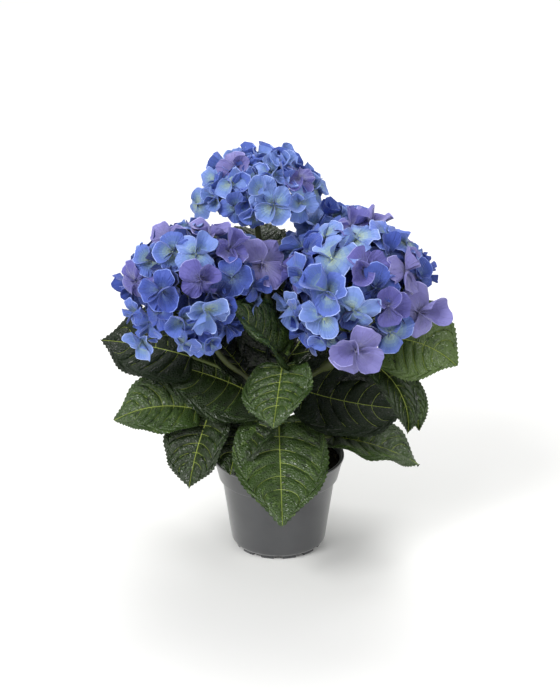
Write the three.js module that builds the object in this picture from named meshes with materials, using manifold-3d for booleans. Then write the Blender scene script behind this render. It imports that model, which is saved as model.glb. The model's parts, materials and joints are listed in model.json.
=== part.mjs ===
// Artificial hydrangea in a nursery pot: pot, soil, stems, five flower heads and thirteen masses of leaves.
// Millimetres, +Z up. The origin is the centre of the pot's underside, and -Y is the plant's front.

import * as THREE from 'three';
import { mergeVertices } from 'three/addons/utils/BufferGeometryUtils.js';
import Module from 'manifold-3d';

const wasm = await Module();
wasm.setup();

// ---- driving dimensions

const fitGap = 0.35; // air left between two solids that touch

const pot = {
	rimRadius: 60,
	height: 88,
	collarHeight: 21,
	wallTopRadius: 51.5,
	wallFootRadius: 43.6,
	wall: 1.6,
	floorHeight: 3,
	footRing: [ 34.5, 39.5 ],
	footCount: 12,
	footArc: 18,
	drainRadius: 4,
	drainRing: 27,
	drainCount: 6,
	segments: 30,
};

const soil = {
	top: 81.5,
	roughness: 1.3,
	rings: [ 0.42, 0.8 ],
	segments: 20,
};

// Each limb is one tapering tube through its points, from the first radius to the second.
const limbSides = 6;
const trunkLimb = { points: [[ 0, 0, 78 ], [ 1, - 1, 104 ], [ 0, 0, 127 ]], radii: [ 6.2, 5.2 ] };

const boughs = {
	bough_top: {
		points: [[ 0, 4, 112 ], [ - 3, 9, 190 ], [ - 12, 12, 255 ], [ - 20, 14, 312 ]],
		radii: [ 3.4, 2.5 ],
	},
	bough_left: {
		points: [[ - 2, - 2, 114 ], [ - 22, - 16, 162 ], [ - 48, - 32, 194 ], [ - 64, - 39, 222 ]],
		radii: [ 3.1, 2.3 ],
	},
	bough_right: {
		points: [[ 2, - 2, 114 ], [ 18, - 10, 160 ], [ 44, - 20, 184 ], [ 62, - 36, 208 ]],
		radii: [ 3.1, 2.3 ],
	},
	bough_back_left: {
		points: [[ - 3, 4, 114 ], [ - 18, 26, 160 ], [ - 42, 52, 182 ], [ - 55, 64, 202 ]],
		radii: [ 3.1, 2.3 ],
	},
	bough_back_right: {
		points: [[ 3, 4, 114 ], [ 16, 26, 162 ], [ 36, 54, 196 ], [ 43, 66, 222 ]],
		radii: [ 3.1, 2.3 ],
	},
};

const shoots = {
	shoot_front: {
		points: [[ 0, - 3, 106 ], [ 0, - 18, 140 ], [ 2, - 36, 176 ], [ 4, - 48, 201 ]],
		radii: [ 2.8, 2.1 ],
	},
	shoot_left: {
		points: [[ - 3, - 3, 106 ], [ - 24, - 12, 130 ], [ - 48, - 20, 139 ], [ - 64, - 24, 138 ]],
		radii: [ 2.6, 2.1 ],
	},
	shoot_right: {
		points: [[ 3, - 3, 98 ], [ 18, - 6, 109 ], [ 34, - 10, 109 ]],
		radii: [ 2.6, 2.1 ],
	},
	shoot_back: {
		points: [[ 0, 3, 104 ], [ 1, 20, 128 ], [ 0, 42, 142 ]],
		radii: [ 2.6, 2.1 ],
	},
};

// A head is a dome of lumps, one for each flower that shows on its outside.
const headLumps = 44;
const heads = {
	head_top: { centre: [ - 16, 15, 334 ], radius: 57, rise: 40, turn: 0.3 },
	head_left: { centre: [ - 72, - 42, 269 ], radius: 65, rise: 60, turn: 1.1 },
	head_right: { centre: [ 65.5, - 42, 264 ], radius: 68, rise: 67, turn: 2.0 },
	head_back_right: { centre: [ 44, 68, 262 ], radius: 57, rise: 50, turn: 2.9 },
	head_back_left: { centre: [ - 58, 66, 233 ], radius: 59, rise: 50, turn: 3.7 },
};

// A leaf leaves its limb at the share `at` of the limb's length and heads for `azimuth`, on a stalk and
// then a blade. Its slope goes from `rise` at the limb to `droop` at the tip. `roll` lifts its left edge,
// and `fold` lifts both edges from the midrib. Angles are in degrees.
const leafThickness = 2.4;
const stalkRadius = 1.9;
const bladeRows = [ 0, 0.07, 0.34, 0.7, 1 ]; // shares of the blade's length where it bends
const sleeve = 2.6; // how far the stalks' shared sleeve stands out round the limb
const sleeveReach = 5; // how far that sleeve runs past the first and the last stalk
const foliage = {
	leaves_front_low: { limb: 'shoot_front', leaves: [
		{ at: 0.34, azimuth: - 88, stalk: 10, length: 112, width: 84, rise: - 34, droop: - 28, roll: - 4, fold: 10 },
	] },
	leaves_front_high: { limb: 'shoot_front', leaves: [
		{ at: 0.97, azimuth: - 98, stalk: 3, length: 66, width: 63, rise: - 32, droop: - 32, roll: 16, fold: 8 },
		{ at: 0.97, azimuth: - 147, stalk: 3, length: 83, width: 58, rise: 60, droop: 36, roll: - 42, fold: 24 },
		{ at: 0.86, azimuth: 36, stalk: 5, length: 74, width: 66, rise: 54, droop: 30, roll: 0, fold: 14 },
	] },
	leaves_right_mid: { limb: 'bough_right', leaves: [
		{ at: 0.38, azimuth: - 2, stalk: 3, length: 101, width: 90, rise: - 20, droop: - 2, roll: 28, fold: 8 },
	] },
	leaves_right_low: { limb: 'shoot_right', leaves: [
		{ at: 0.9, azimuth: - 7, stalk: 17, length: 85, width: 80, rise: 5, droop: - 30, roll: 2, fold: 10 },
		{ at: 0.9, azimuth: 52, stalk: 12, length: 88, width: 72, rise: 6, droop: - 18, roll: 6, fold: 12 },
	] },
	leaves_right_high: { limb: 'bough_right', leaves: [
		{ at: 0.78, azimuth: - 16, stalk: 50, length: 75, width: 80, rise: 52, droop: - 40, roll: 38, fold: 6 },
		{ at: 0.74, azimuth: - 36, stalk: 46, length: 78, width: 32, rise: 44, droop: - 96, roll: 50, fold: 40 },
		{ at: 0.7, azimuth: - 22, stalk: 54, length: 68, width: 30, rise: 36, droop: - 88, roll: 60, fold: 30 },
	] },
	leaves_left_high: { limb: 'bough_left', leaves: [
		{ at: 0.48, azimuth: 172, stalk: 53, length: 85, width: 88, rise: 26, droop: 1, roll: - 24, fold: 8 },
	] },
	leaves_left_mid: { limb: 'bough_left', leaves: [
		{ at: 0.28, azimuth: - 176, stalk: 6, length: 100, width: 96, rise: 34, droop: 10, roll: - 34, fold: 8 },
		{ at: 0.36, azimuth: 150, stalk: 8, length: 74, width: 62, rise: 52, droop: 30, roll: 0, fold: 15 },
	] },
	leaves_left_low: { limb: 'shoot_left', leaves: [
		{ at: 0.97, azimuth: - 179, stalk: 10, length: 79, width: 64, rise: 25, droop: - 31, roll: - 30, fold: 10 },
		{ at: 0.97, azimuth: - 112, stalk: 2, length: 70, width: 62, rise: - 30, droop: - 66, roll: 10, fold: 14 },
		{ at: 0.45, azimuth: - 106, stalk: 6, length: 66, width: 64, rise: 0, droop: - 48, roll: 6, fold: 12 },
	] },
	leaves_middle: { limb: 'bough_top', leaves: [
		{ at: 0.26, azimuth: 100, stalk: 4, length: 86, width: 70, rise: 80, droop: 50, roll: 0, fold: 12 },
		{ at: 0.4, azimuth: 56, stalk: 4, length: 80, width: 62, rise: 76, droop: 44, roll: 0, fold: 12 },
	] },
	leaves_top: { limb: 'bough_top', leaves: [
		{ at: 0.8, azimuth: 174, stalk: 5, length: 54, width: 40, rise: 28, droop: 12, roll: 10, fold: 14 },
		{ at: 0.8, azimuth: 96, stalk: 6, length: 60, width: 46, rise: 24, droop: - 10, roll: 0, fold: 14 },
	] },
	leaves_back_right: { limb: 'bough_back_right', leaves: [
		{ at: 0.84, azimuth: 28, stalk: 20, length: 82, width: 70, rise: - 10, droop: - 26, roll: 8, fold: 10 },
		{ at: 0.84, azimuth: 96, stalk: 9, length: 76, width: 66, rise: - 24, droop: - 52, roll: - 8, fold: 12 },
		{ at: 0.45, azimuth: 12, stalk: 12, length: 84, width: 70, rise: - 4, droop: - 16, roll: 14, fold: 10 },
	] },
	leaves_back_left: { limb: 'bough_back_left', leaves: [
		{ at: 0.84, azimuth: 150, stalk: 18, length: 84, width: 72, rise: - 8, droop: - 24, roll: - 8, fold: 10 },
		{ at: 0.84, azimuth: 74, stalk: 10, length: 78, width: 66, rise: - 24, droop: - 50, roll: 8, fold: 12 },
		{ at: 0.45, azimuth: 166, stalk: 14, length: 86, width: 72, rise: 0, droop: - 18, roll: - 12, fold: 10 },
	] },
	leaves_back_low: { limb: 'shoot_back', leaves: [
		{ at: 0.94, azimuth: 84, stalk: 5, length: 90, width: 80, rise: - 12, droop: - 42, roll: 0, fold: 10 },
		{ at: 0.94, azimuth: 152, stalk: 8, length: 86, width: 74, rise: - 14, droop: - 36, roll: - 6, fold: 10 },
		{ at: 0.94, azimuth: 24, stalk: 8, length: 84, width: 70, rise: - 14, droop: - 36, roll: 6, fold: 10 },
	] },
};

// ---- materials

const finish = ( color, roughness ) => new THREE.MeshStandardMaterial( { color, roughness, metalness: 0 } );
const potPlastic = finish( 0x58595b, 0.45 );
const soilFill = finish( 0x241c15, 0.95 );
const stemCover = finish( 0x66702c, 0.6 );
const flowerCloth = finish( 0x5c76d2, 0.8 );
const leafCloth = finish( 0x23401c, 0.55 );

// ---- solids and meshes

function solidOf( geometry ) {

	const bare = geometry.clone();
	bare.deleteAttribute( 'normal' );
	bare.deleteAttribute( 'uv' );
	const merged = mergeVertices( bare, 1e-4 );
	return new wasm.Manifold( new wasm.Mesh( {
		numProp: 3,
		vertProperties: Float32Array.from( merged.attributes.position.array ),
		triVerts: Uint32Array.from( merged.index.array ),
	} ) );

}

function geometryOf( solid ) {

	const { vertProperties, triVerts } = solid.getMesh();
	const geometry = new THREE.BufferGeometry();
	geometry.setAttribute( 'position', new THREE.BufferAttribute( vertProperties, 3 ) );
	geometry.setIndex( new THREE.BufferAttribute( triVerts, 1 ) );
	geometry.computeVertexNormals();
	return geometry;

}

const joined = ( solids ) => solids.reduce( ( all, one ) => all.add( one ) );
const crumb = 100; // cubic millimetres that a cut may leave loose

// The solid without its crumbs. A leaf or limb that the cuts have parted stops the build.
function wholeBody( name, solid ) {

	const [ body, ...loose ] = solid.decompose().sort( ( a, b ) => b.volume() - a.volume() );
	const lost = loose.find( ( part ) => part.volume() > crumb );
	if ( lost ) throw new Error( `${ name } is cut in two, and ${ Math.round( lost.volume() ) } mm3 comes off` );
	return body;

}


// Each new solid gives way to those before it, which are kept one fit gap larger for that.
const plant = new THREE.Group();
const standing = [];

function addPiece( name, make, material ) {

	let solid = make( 0 );
	for ( const other of standing ) solid = solid.subtract( other );
	standing.push( make( fitGap ) );
	const mesh = new THREE.Mesh( geometryOf( wholeBody( name, solid ) ), material );
	mesh.name = name;
	plant.add( mesh );

}

// ---- pot and soil

const turnedUp = ( geometry ) => geometry.rotateX( Math.PI / 2 );
const lathed = ( profile, segments ) => {

	const points = profile.map( ( [ r, z ] ) => new THREE.Vector2( r, z ) );
	return solidOf( turnedUp( new THREE.LatheGeometry( points, segments ) ) );

};

function potProfile() {

	const collarFoot = pot.height - pot.collarHeight;
	const lipRadius = pot.rimRadius - 1;
	const collarRadius = pot.rimRadius - 5.5;
	const outside = [
		[ 0, pot.floorHeight ],
		[ pot.wallFootRadius - 3, pot.floorHeight ],
		[ pot.wallFootRadius - 0.8, pot.floorHeight + 2.4 ],
		[ pot.wallFootRadius, pot.floorHeight + 6 ],
		[ pot.wallTopRadius, collarFoot - 1.2 ],
		[ collarRadius, collarFoot ],
		[ lipRadius, pot.height - 2.4 ],
		[ pot.rimRadius, pot.height - 1.8 ],
		[ pot.rimRadius, pot.height ],
	];
	const inside = [
		[ lipRadius - pot.wall, pot.height ],
		[ collarRadius - pot.wall, collarFoot + 2.4 ],
		[ pot.wallTopRadius - pot.wall, collarFoot + 0.6 ],
		[ pot.wallFootRadius - pot.wall, pot.floorHeight + 6 ],
		[ pot.wallFootRadius - 3 - pot.wall, pot.floorHeight + pot.wall ],
		[ 0, pot.floorHeight + pot.wall ],
	];
	return { outside, inside };

}

function potFoot( middle ) {

	const [ inner, outer ] = pot.footRing;
	const half = THREE.MathUtils.degToRad( pot.footArc / 2 );
	const outline = new THREE.Shape();
	outline.absarc( 0, 0, outer, middle - half, middle + half, false );
	outline.absarc( 0, 0, inner, middle + half, middle - half, true );
	return solidOf( new THREE.ExtrudeGeometry( outline, {
		depth: pot.floorHeight + pot.wall / 2,
		curveSegments: 2,
		bevelEnabled: false,
	} ) );

}

function drainHole( middle ) {

	const height = 4 * pot.floorHeight;
	const hole = turnedUp( new THREE.CylinderGeometry( pot.drainRadius, pot.drainRadius, height, 6 ) );
	hole.translate( pot.drainRing * Math.cos( middle ), pot.drainRing * Math.sin( middle ), 0 );
	return solidOf( hole );

}

const roundTheRing = ( count, makeOne ) => {

	const step = 2 * Math.PI / count;
	return Array.from( { length: count }, ( _, i ) => makeOne( ( i + 0.5 ) * step ) );

};

function potSolid() {

	const { outside, inside } = potProfile();
	const shell = lathed( [ ...outside, ...inside ], pot.segments );
	const feet = joined( roundTheRing( pot.footCount, potFoot ) );
	return shell.add( feet ).subtract( joined( roundTheRing( pot.drainCount, drainHole ) ) );

}

// The pot's room, filled to just under the rim, with a crumbly top.
function soilSolid( grow ) {

	const { inside } = potProfile();
	const floor = pot.floorHeight + pot.wall + fitGap;
	const wall = inside.slice( 1, - 1 ).reverse().map( ( [ r, z ] ) => [ r - fitGap, Math.max( z, floor ) ] );
	const [ neckRadius, neckHeight ] = wall[ wall.length - 1 ];
	const [ mouthRadius ] = inside[ 0 ];
	const share = ( soil.top - neckHeight ) / ( pot.height - neckHeight );
	const edge = neckRadius + ( mouthRadius - fitGap - neckRadius ) * share - 0.2;
	const crumbs = [ ...soil.rings ].reverse().map( ( ring ) => [ edge * ring, soil.top ] );
	const top = [[ edge, soil.top ], ...crumbs, [ 0, soil.top ]];
	const points = [[ 0, floor ], ...wall, ...top ].map( ( [ r, z ] ) => new THREE.Vector2( r, z ) );
	const geometry = turnedUp( new THREE.LatheGeometry( points, soil.segments ) );
	const position = geometry.attributes.position;
	for ( let i = 0; i < position.count; i ++ ) {

		if ( position.getZ( i ) < soil.top - 0.1 ) continue;
		const [ x, y ] = [ position.getX( i ), position.getY( i ) ];
		const mounds = Math.sin( 0.31 * x + 0.5 ) * Math.cos( 0.27 * y );
		const furrows = 0.6 * Math.sin( 0.42 * x - 0.66 * y );
		position.setZ( i, soil.top + soil.roughness * ( mounds + furrows ) + grow );

	}

	return solidOf( geometry );

}

// ---- limbs

const curveThrough = ( points ) => {

	const vectors = points.map( ( p ) => new THREE.Vector3( ...p ) );
	return new THREE.CatmullRomCurve3( vectors );

};

// A straight tapering post, bent so that its axis lies on the curve.
function tubeAlong( curve, [ startRadius, endRadius ], steps, sides ) {

	const profile = [ new THREE.Vector2( 0, 0 ) ];
	for ( let i = 0; i <= steps; i ++ ) {

		const share = i / steps;
		profile.push( new THREE.Vector2( startRadius + ( endRadius - startRadius ) * share, i ) );

	}

	profile.push( new THREE.Vector2( 0, steps ) );
	const geometry = new THREE.LatheGeometry( profile, sides );
	const { normals, binormals } = curve.computeFrenetFrames( steps, false );
	const position = geometry.attributes.position;
	for ( let i = 0; i < position.count; i ++ ) {

		const station = Math.round( position.getY( i ) );
		const point = curve.getPointAt( station / steps );
		point.addScaledVector( normals[ station ], position.getX( i ) );
		point.addScaledVector( binormals[ station ], - position.getZ( i ) );
		position.setXYZ( i, point.x, point.y, point.z );

	}

	return solidOf( geometry );

}

function limbSolid( { points, radii }, grow ) {

	const curve = curveThrough( points );
	const steps = Math.max( 4, Math.round( curve.getLength() / 24 ) );
	return tubeAlong( curve, radii.map( ( r ) => r + grow ), steps, limbSides );

}

// ---- flower heads

// Directions spread evenly over a ball: each next one is a golden angle further round.
function evenDirections( count, turn ) {

	const goldenAngle = Math.PI * ( 3 - Math.sqrt( 5 ) );
	return Array.from( { length: count }, ( _, i ) => {

		const height = 1 - 2 * ( i + 0.5 ) / count;
		const flat = Math.sqrt( 1 - height * height );
		const round = turn + i * goldenAngle;
		return new THREE.Vector3( flat * Math.cos( round ), flat * Math.sin( round ), height );

	} );

}

function headSolid( { centre, radius, rise, turn }, grow ) {

	const lumpDepth = 0.14;
	const lumpSpread = 0.24;
	const lumps = evenDirections( headLumps, turn );
	const geometry = new THREE.IcosahedronGeometry( 1, 4 );
	const position = geometry.attributes.position;
	const direction = new THREE.Vector3();
	for ( let i = 0; i < position.count; i ++ ) {

		direction.fromBufferAttribute( position, i ).normalize();
		const nearest = Math.min( ...lumps.map( ( lump ) => lump.angleTo( direction ) ) );
		const reach = 1 - lumpDepth + lumpDepth * Math.exp( - ( ( nearest / lumpSpread ) ** 2 ) );
		position.setXYZ(
			i,
			centre[ 0 ] + direction.x * ( radius * reach + grow ),
			centre[ 1 ] + direction.y * ( radius * reach + grow ),
			centre[ 2 ] + direction.z * ( rise * reach + grow ),
		);

	}

	return solidOf( geometry );

}

// ---- leaves

const { degToRad } = THREE.MathUtils;

// Width of the blade at the share `along` of its length, as a share of its largest width.
const bladeShape = ( along ) => 2.19 * along ** 0.4 * ( 1 - along ) ** 0.85;

function leafPath( leaf, start ) {

	const steps = 24;
	const total = leaf.stalk + leaf.length;
	const around = degToRad( leaf.azimuth );
	const tangents = [];
	const points = [ start.clone() ];
	for ( let i = 0; i <= steps; i ++ ) {

		const slope = degToRad( THREE.MathUtils.lerp( leaf.rise, leaf.droop, i / steps ) );
		const level = Math.cos( slope );
		const tangent = new THREE.Vector3( level * Math.cos( around ), level * Math.sin( around ), Math.sin( slope ) );
		if ( i > 0 ) points.push( points[ i - 1 ].clone().addScaledVector( tangent, total / steps ) );
		tangents.push( tangent );

	}

	const right = new THREE.Vector3( Math.sin( around ), - Math.cos( around ), 0 );
	const place = ( distance ) => {

		const station = Math.min( distance / total * steps, steps - 1e-6 );
		const before = Math.floor( station );
		const share = station - before;
		const point = points[ before ].clone().lerp( points[ before + 1 ], share );
		const tangent = tangents[ before ].clone().lerp( tangents[ before + 1 ], share ).normalize();
		return { point, tangent };

	};

	return { right, place };

}

// A flat slab, narrowed to the leaf's outline and laid along its path: the stalk first, then the blade.
function leafSolid( leaf, path, grow ) {

	const slab = new THREE.BoxGeometry( 2, bladeRows.length, 2, 2, bladeRows.length, 1 );
	const position = slab.attributes.position;
	const fold = degToRad( leaf.fold );
	const roll = degToRad( leaf.roll );
	for ( let i = 0; i < position.count; i ++ ) {

		const row = Math.round( position.getY( i ) + bladeRows.length / 2 );
		const across = position.getX( i );
		const along = row === 0 ? 0 : bladeRows[ row - 1 ];
		const { point, tangent } = path.place( row === 0 ? 0 : leaf.stalk + along * leaf.length );
		const up = path.right.clone().cross( tangent ).applyAxisAngle( tangent, roll );
		const right = path.right.clone().applyAxisAngle( tangent, roll );
		const half = Math.max( leaf.width / 2 * bladeShape( along ), along < 1 ? stalkRadius : 1 ) + grow;
		const thick = row < 2 ? stalkRadius : leafThickness / 2 * ( across === 0 ? 1 : 0.6 );
		const lift = Math.abs( across ) * half * Math.sin( fold ) + position.getZ( i ) * ( thick + grow );
		point.addScaledVector( right, across * half * Math.cos( fold ) );
		point.addScaledVector( up, lift );
		if ( along === 1 ) point.addScaledVector( tangent, grow );
		position.setXYZ( i, point.x, point.y, point.z );

	}

	return solidOf( slab );

}

// The leaves of one place on a limb, joined by the sleeve that their stalks share round it.
function massSolid( { limb, leaves }, grow ) {

	const { points, radii } = { ...boughs, ...shoots }[ limb ];
	const curve = curveThrough( points );
	const places = leaves.map( ( leaf ) => leaf.at );
	const reach = sleeveReach / curve.getLength();
	const from = Math.min( ...places ) - reach;
	const to = Math.min( Math.max( ...places ) + reach, 1 );
	const middle = ( from + to ) / 2;
	const sleeveCurve = curveThrough( [ from, middle, to ].map( ( at ) => curve.getPointAt( at ).toArray() ) );
	const radius = THREE.MathUtils.lerp( radii[ 0 ], radii[ 1 ], middle ) + sleeve + grow;
	const stalkSleeve = tubeAlong( sleeveCurve, [ radius, radius ], 1, limbSides );
	const blades = leaves.map( ( leaf ) => leafSolid( leaf, leafPath( leaf, curve.getPointAt( leaf.at ) ), grow ) );
	return joined( [ stalkSleeve, ...blades ] );

}

// ---- the plant, from the ground up

addPiece( 'pot', potSolid, potPlastic );
addPiece( 'soil', soilSolid, soilFill );
addPiece( 'trunk', ( grow ) => limbSolid( trunkLimb, grow ), stemCover );
for ( const [ name, head ] of Object.entries( heads ) ) {

	addPiece( name, ( grow ) => headSolid( head, grow ), flowerCloth );

}

for ( const [ name, limb ] of Object.entries( { ...boughs, ...shoots } ) ) {

	addPiece( name, ( grow ) => limbSolid( limb, grow ), stemCover );

}

for ( const [ name, mass ] of Object.entries( foliage ) ) {

	addPiece( name, ( grow ) => massSolid( mass, grow ), leafCloth );

}

export default plant;
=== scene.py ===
# Artificial hydrangea in a nursery pot. Metres, +Z up, the plant's front towards -Y.
import json
import math

import bmesh
import bpy
import numpy as np
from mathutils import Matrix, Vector

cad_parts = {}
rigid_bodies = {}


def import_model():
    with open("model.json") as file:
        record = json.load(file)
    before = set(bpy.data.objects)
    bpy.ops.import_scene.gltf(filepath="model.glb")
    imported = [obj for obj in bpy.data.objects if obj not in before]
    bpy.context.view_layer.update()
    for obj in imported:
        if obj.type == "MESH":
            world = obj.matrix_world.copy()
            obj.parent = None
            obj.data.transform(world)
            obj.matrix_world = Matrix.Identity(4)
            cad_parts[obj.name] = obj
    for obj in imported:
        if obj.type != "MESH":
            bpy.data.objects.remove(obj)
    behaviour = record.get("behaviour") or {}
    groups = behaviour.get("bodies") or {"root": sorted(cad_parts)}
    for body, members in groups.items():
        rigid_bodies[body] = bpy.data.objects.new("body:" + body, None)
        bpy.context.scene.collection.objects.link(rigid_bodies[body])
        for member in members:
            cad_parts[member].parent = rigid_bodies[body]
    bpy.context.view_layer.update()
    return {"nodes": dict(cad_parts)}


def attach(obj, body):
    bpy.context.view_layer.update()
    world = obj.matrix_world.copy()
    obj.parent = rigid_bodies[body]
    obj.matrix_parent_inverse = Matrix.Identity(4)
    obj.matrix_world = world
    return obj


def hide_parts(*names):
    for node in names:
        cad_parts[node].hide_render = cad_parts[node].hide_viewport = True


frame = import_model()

wholeTurn = 2 * math.pi
print("frame:", len(frame["nodes"]), "nodes")

# Helpers for colours, node trees and meshes


# sRGB hex to the linear colour that a shader takes
def linear(hexColour):
    shares = [int(hexColour[i:i + 2], 16) / 255 for i in (1, 3, 5)]
    return [c / 12.92 if c <= 0.04045 else ((c + 0.055) / 1.055) ** 2.4 for c in shares] + [1.0]


# A node with its settings; each input gets a value, or another node's output
def addNode(tree, kind, inputs=None, **settings):
    made = tree.nodes.new(kind)
    for name, value in settings.items():
        setattr(made, name, value)
    for name, value in (inputs or {}).items():
        if isinstance(value, bpy.types.NodeSocket):
            tree.links.new(value, made.inputs[name])
        else:
            made.inputs[name].default_value = value
    return made


def newMaterial(name, colour, **values):
    material = bpy.data.materials.new(name)
    material.use_nodes = True
    tree = material.node_tree
    shader = tree.nodes["Principled BSDF"]
    shader.inputs["Base Color"].default_value = linear(colour)
    for label, value in values.items():
        shader.inputs[label].default_value = value
    return material, tree, shader


# Roughness that wanders between two values over grains of a real size. With a height, the grains
# also stand out.
def addGrain(tree, shader, roughness, grain, height=None, place=None, detail=3.0):
    if place is None:
        place = addNode(tree, "ShaderNodeTexCoord").outputs["Object"]
    noise = addNode(tree, "ShaderNodeTexNoise", {"Vector": place, "Scale": 1 / grain, "Detail": detail})
    span = {"Value": noise.outputs["Fac"], "To Min": roughness[0], "To Max": roughness[1]}
    spread = addNode(tree, "ShaderNodeMapRange", span)
    tree.links.new(spread.outputs["Result"], shader.inputs["Roughness"])
    if height:
        raised = {"Height": noise.outputs["Fac"], "Distance": height, "Strength": 1.0}
        bump = addNode(tree, "ShaderNodeBump", raised)
        tree.links.new(bump.outputs["Normal"], shader.inputs["Normal"])
    return place


def newObject(name, mesh):
    made = bpy.data.objects.new(name, mesh)
    bpy.context.scene.collection.objects.link(made)
    return made


def meshObject(name, vertices, faces, edges=()):
    mesh = bpy.data.meshes.new(name)
    mesh.from_pydata([tuple(v) for v in vertices], [tuple(e) for e in edges], [tuple(f) for f in faces])
    mesh.shade_smooth()
    return newObject(name, mesh)


def setAttribute(thing, name, kind, domain, values):
    layer = thing.data.attributes.new(name, kind, domain)
    layer.data.foreach_set("vector" if kind == "FLOAT_VECTOR" else "value", np.ravel(values))


# A UV layer from one place per vertex
def setUv(thing, name, places):
    layer = thing.data.uv_layers.new(name=name)
    corners = np.empty(len(thing.data.loops), np.int32)
    thing.data.loops.foreach_get("vertex_index", corners)
    layer.data.foreach_set("uv", places[corners].ravel())


socketKinds = {
    "number": "NodeSocketFloat",
    "count": "NodeSocketInt",
    "object": "NodeSocketObject",
    "collection": "NodeSocketCollection",
    "material": "NodeSocketMaterial",
}


# A geometry tree with named inputs; gives the tree, its inputs and where its result goes
def newTree(name, **inputs):
    tree = bpy.data.node_groups.new(name, "GeometryNodeTree")
    for direction in ("INPUT", "OUTPUT"):
        tree.interface.new_socket("Geometry", in_out=direction, socket_type="NodeSocketGeometry")
    for label, kind in inputs.items():
        tree.interface.new_socket(label, in_out="INPUT", socket_type=socketKinds[kind])
    given = tree.nodes.new("NodeGroupInput").outputs
    result = tree.nodes.new("NodeGroupOutput").inputs["Geometry"]
    return tree, given, result


# Runs a tree on an object and gives the result as a plain mesh of the given name
def grow(name, source, tree, **settings):
    modifier = source.modifiers.new("grow", "NODES")
    modifier.node_group = tree
    for item in tree.interface.items_tree:
        if item.in_out == "INPUT" and item.name in settings:
            modifier[item.identifier] = settings[item.name]
    view = bpy.context.evaluated_depsgraph_get()
    mesh = bpy.data.meshes.new_from_object(source.evaluated_get(view))
    bpy.data.objects.remove(source)
    mesh.name = name
    return newObject(name, mesh)


# The piece rides on the plant's one body and stands for the CAD nodes named
def keepPiece(piece, slot, *nodes):
    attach(piece, "root")
    if nodes:
        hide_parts(*nodes)


# Name of the piece that stands for a node, such as leavesFrontLow for leaves_front_low
def pieceName(node, first=None):
    words = node.split("_")
    return (first or words[0]) + "".join(word.capitalize() for word in words[1:])


# Vertices and faces of several meshes as one
def joinedMeshes(parts):
    starts = np.cumsum([0] + [len(points) for points, quads in parts])
    vertices = np.concatenate([points for points, quads in parts])
    return vertices, np.concatenate([quads + start for (points, quads), start in zip(parts, starts)])


# Faces of a grid of vertices
def gridFaces(rows, columns):
    index = np.arange(rows * columns).reshape(rows, columns)
    corners = [index[:-1, :-1], index[:-1, 1:], index[1:, 1:], index[1:, :-1]]
    return np.stack(corners, axis=-1).reshape(-1, 4)


# Thin closed sheet between a top grid of vertices and an under grid
def closedSheet(top, under):
    rows, columns = top.shape[:2]
    half = rows * columns
    index = np.arange(half).reshape(rows, columns)
    edge = np.concatenate([index[0, :-1], index[:-1, -1], index[-1, :0:-1], index[:0:-1, 0]])
    follow = np.roll(edge, -1)
    strip = np.stack([follow, edge, edge + half, follow + half], axis=-1)
    faces = gridFaces(rows, columns)
    vertices = np.concatenate([top.reshape(-1, 3), under.reshape(-1, 3)])
    return vertices, np.concatenate([faces, faces[:, ::-1] + half, strip])


# Upright direction at each vertex of a grid
def gridNormals(grid):
    across = np.gradient(grid, axis=1)
    along = np.gradient(grid, axis=0)
    normal = np.cross(across, along)
    return normal / np.maximum(np.linalg.norm(normal, axis=2, keepdims=True), 1e-12)


def smoothStep(low, high, value):
    share = np.clip((value - low) / (high - low), 0, 1)
    return share * share * (3 - 2 * share)


# Camera, light and floor

view = {
    "target": (0.0014, 0.0, 0.190),
    "distance": 2.0,
    "elevation": 22.5,
    "lens": 114.8,
    "sensor": 36.0,
}


def makeCamera():
    data = bpy.data.cameras.new("camera")
    data.lens = view["lens"]
    data.sensor_fit = "AUTO"
    data.sensor_width = view["sensor"]
    camera = newObject("camera", data)
    tilt = math.radians(view["elevation"])
    back = Vector((0, -math.cos(tilt), math.sin(tilt)))
    camera.location = Vector(view["target"]) + back * view["distance"]
    camera.rotation_euler = (math.radians(90) - tilt, 0, 0)
    bpy.context.scene.camera = camera


# Softboxes: place, what they point at, size and watts
lights = {
    "keyLight": {"at": (-1.3, -1.5, 1.9), "aim": (0, 0, 0.2), "size": 1.2, "power": 54},
    "fillLight": {"at": (1.7, -1.2, 1.4), "aim": (0, 0, 0.2), "size": 1.6, "power": 14},
    "topLight": {"at": (0.1, 1.4, 2.1), "aim": (0, 1.1, 0), "size": 1.5, "power": 42},
}

studio = {
    "light": 0.38,         # strength of the even white light from all round
    "floor": 12.0,         # side of the square floor
    "paint": "#f4f4f2",
}


def makeLights():
    for name, light in lights.items():
        data = bpy.data.lights.new(name, "AREA")
        data.size = light["size"]
        data.energy = light["power"]
        lamp = newObject(name, data)
        lamp.location = light["at"]
        aim = Vector(light["aim"]) - lamp.location
        lamp.rotation_euler = aim.to_track_quat("-Z", "Y").to_euler()
    world = bpy.data.worlds.new("studio")
    world.use_nodes = True
    background = world.node_tree.nodes["Background"]
    background.inputs["Color"].default_value = linear("#ffffff")
    background.inputs["Strength"].default_value = studio["light"]
    bpy.context.scene.world = world
    bpy.context.scene.view_settings.view_transform = "Standard"


def makeFloor():
    half = studio["floor"] / 2
    corners = [(-half, -half, 0), (half, -half, 0), (half, half, 0), (-half, half, 0)]
    floor = meshObject("floor", corners, [(0, 1, 2, 3)])
    material, tree, shader = newMaterial("paintedFloor", studio["paint"])
    addGrain(tree, shader, (0.7, 0.8), 0.002, 0.00002)
    floor.data.materials.append(material)


makeCamera()
makeLights()
makeFloor()
print("stage: camera, lights and floor")

# Materials

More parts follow.
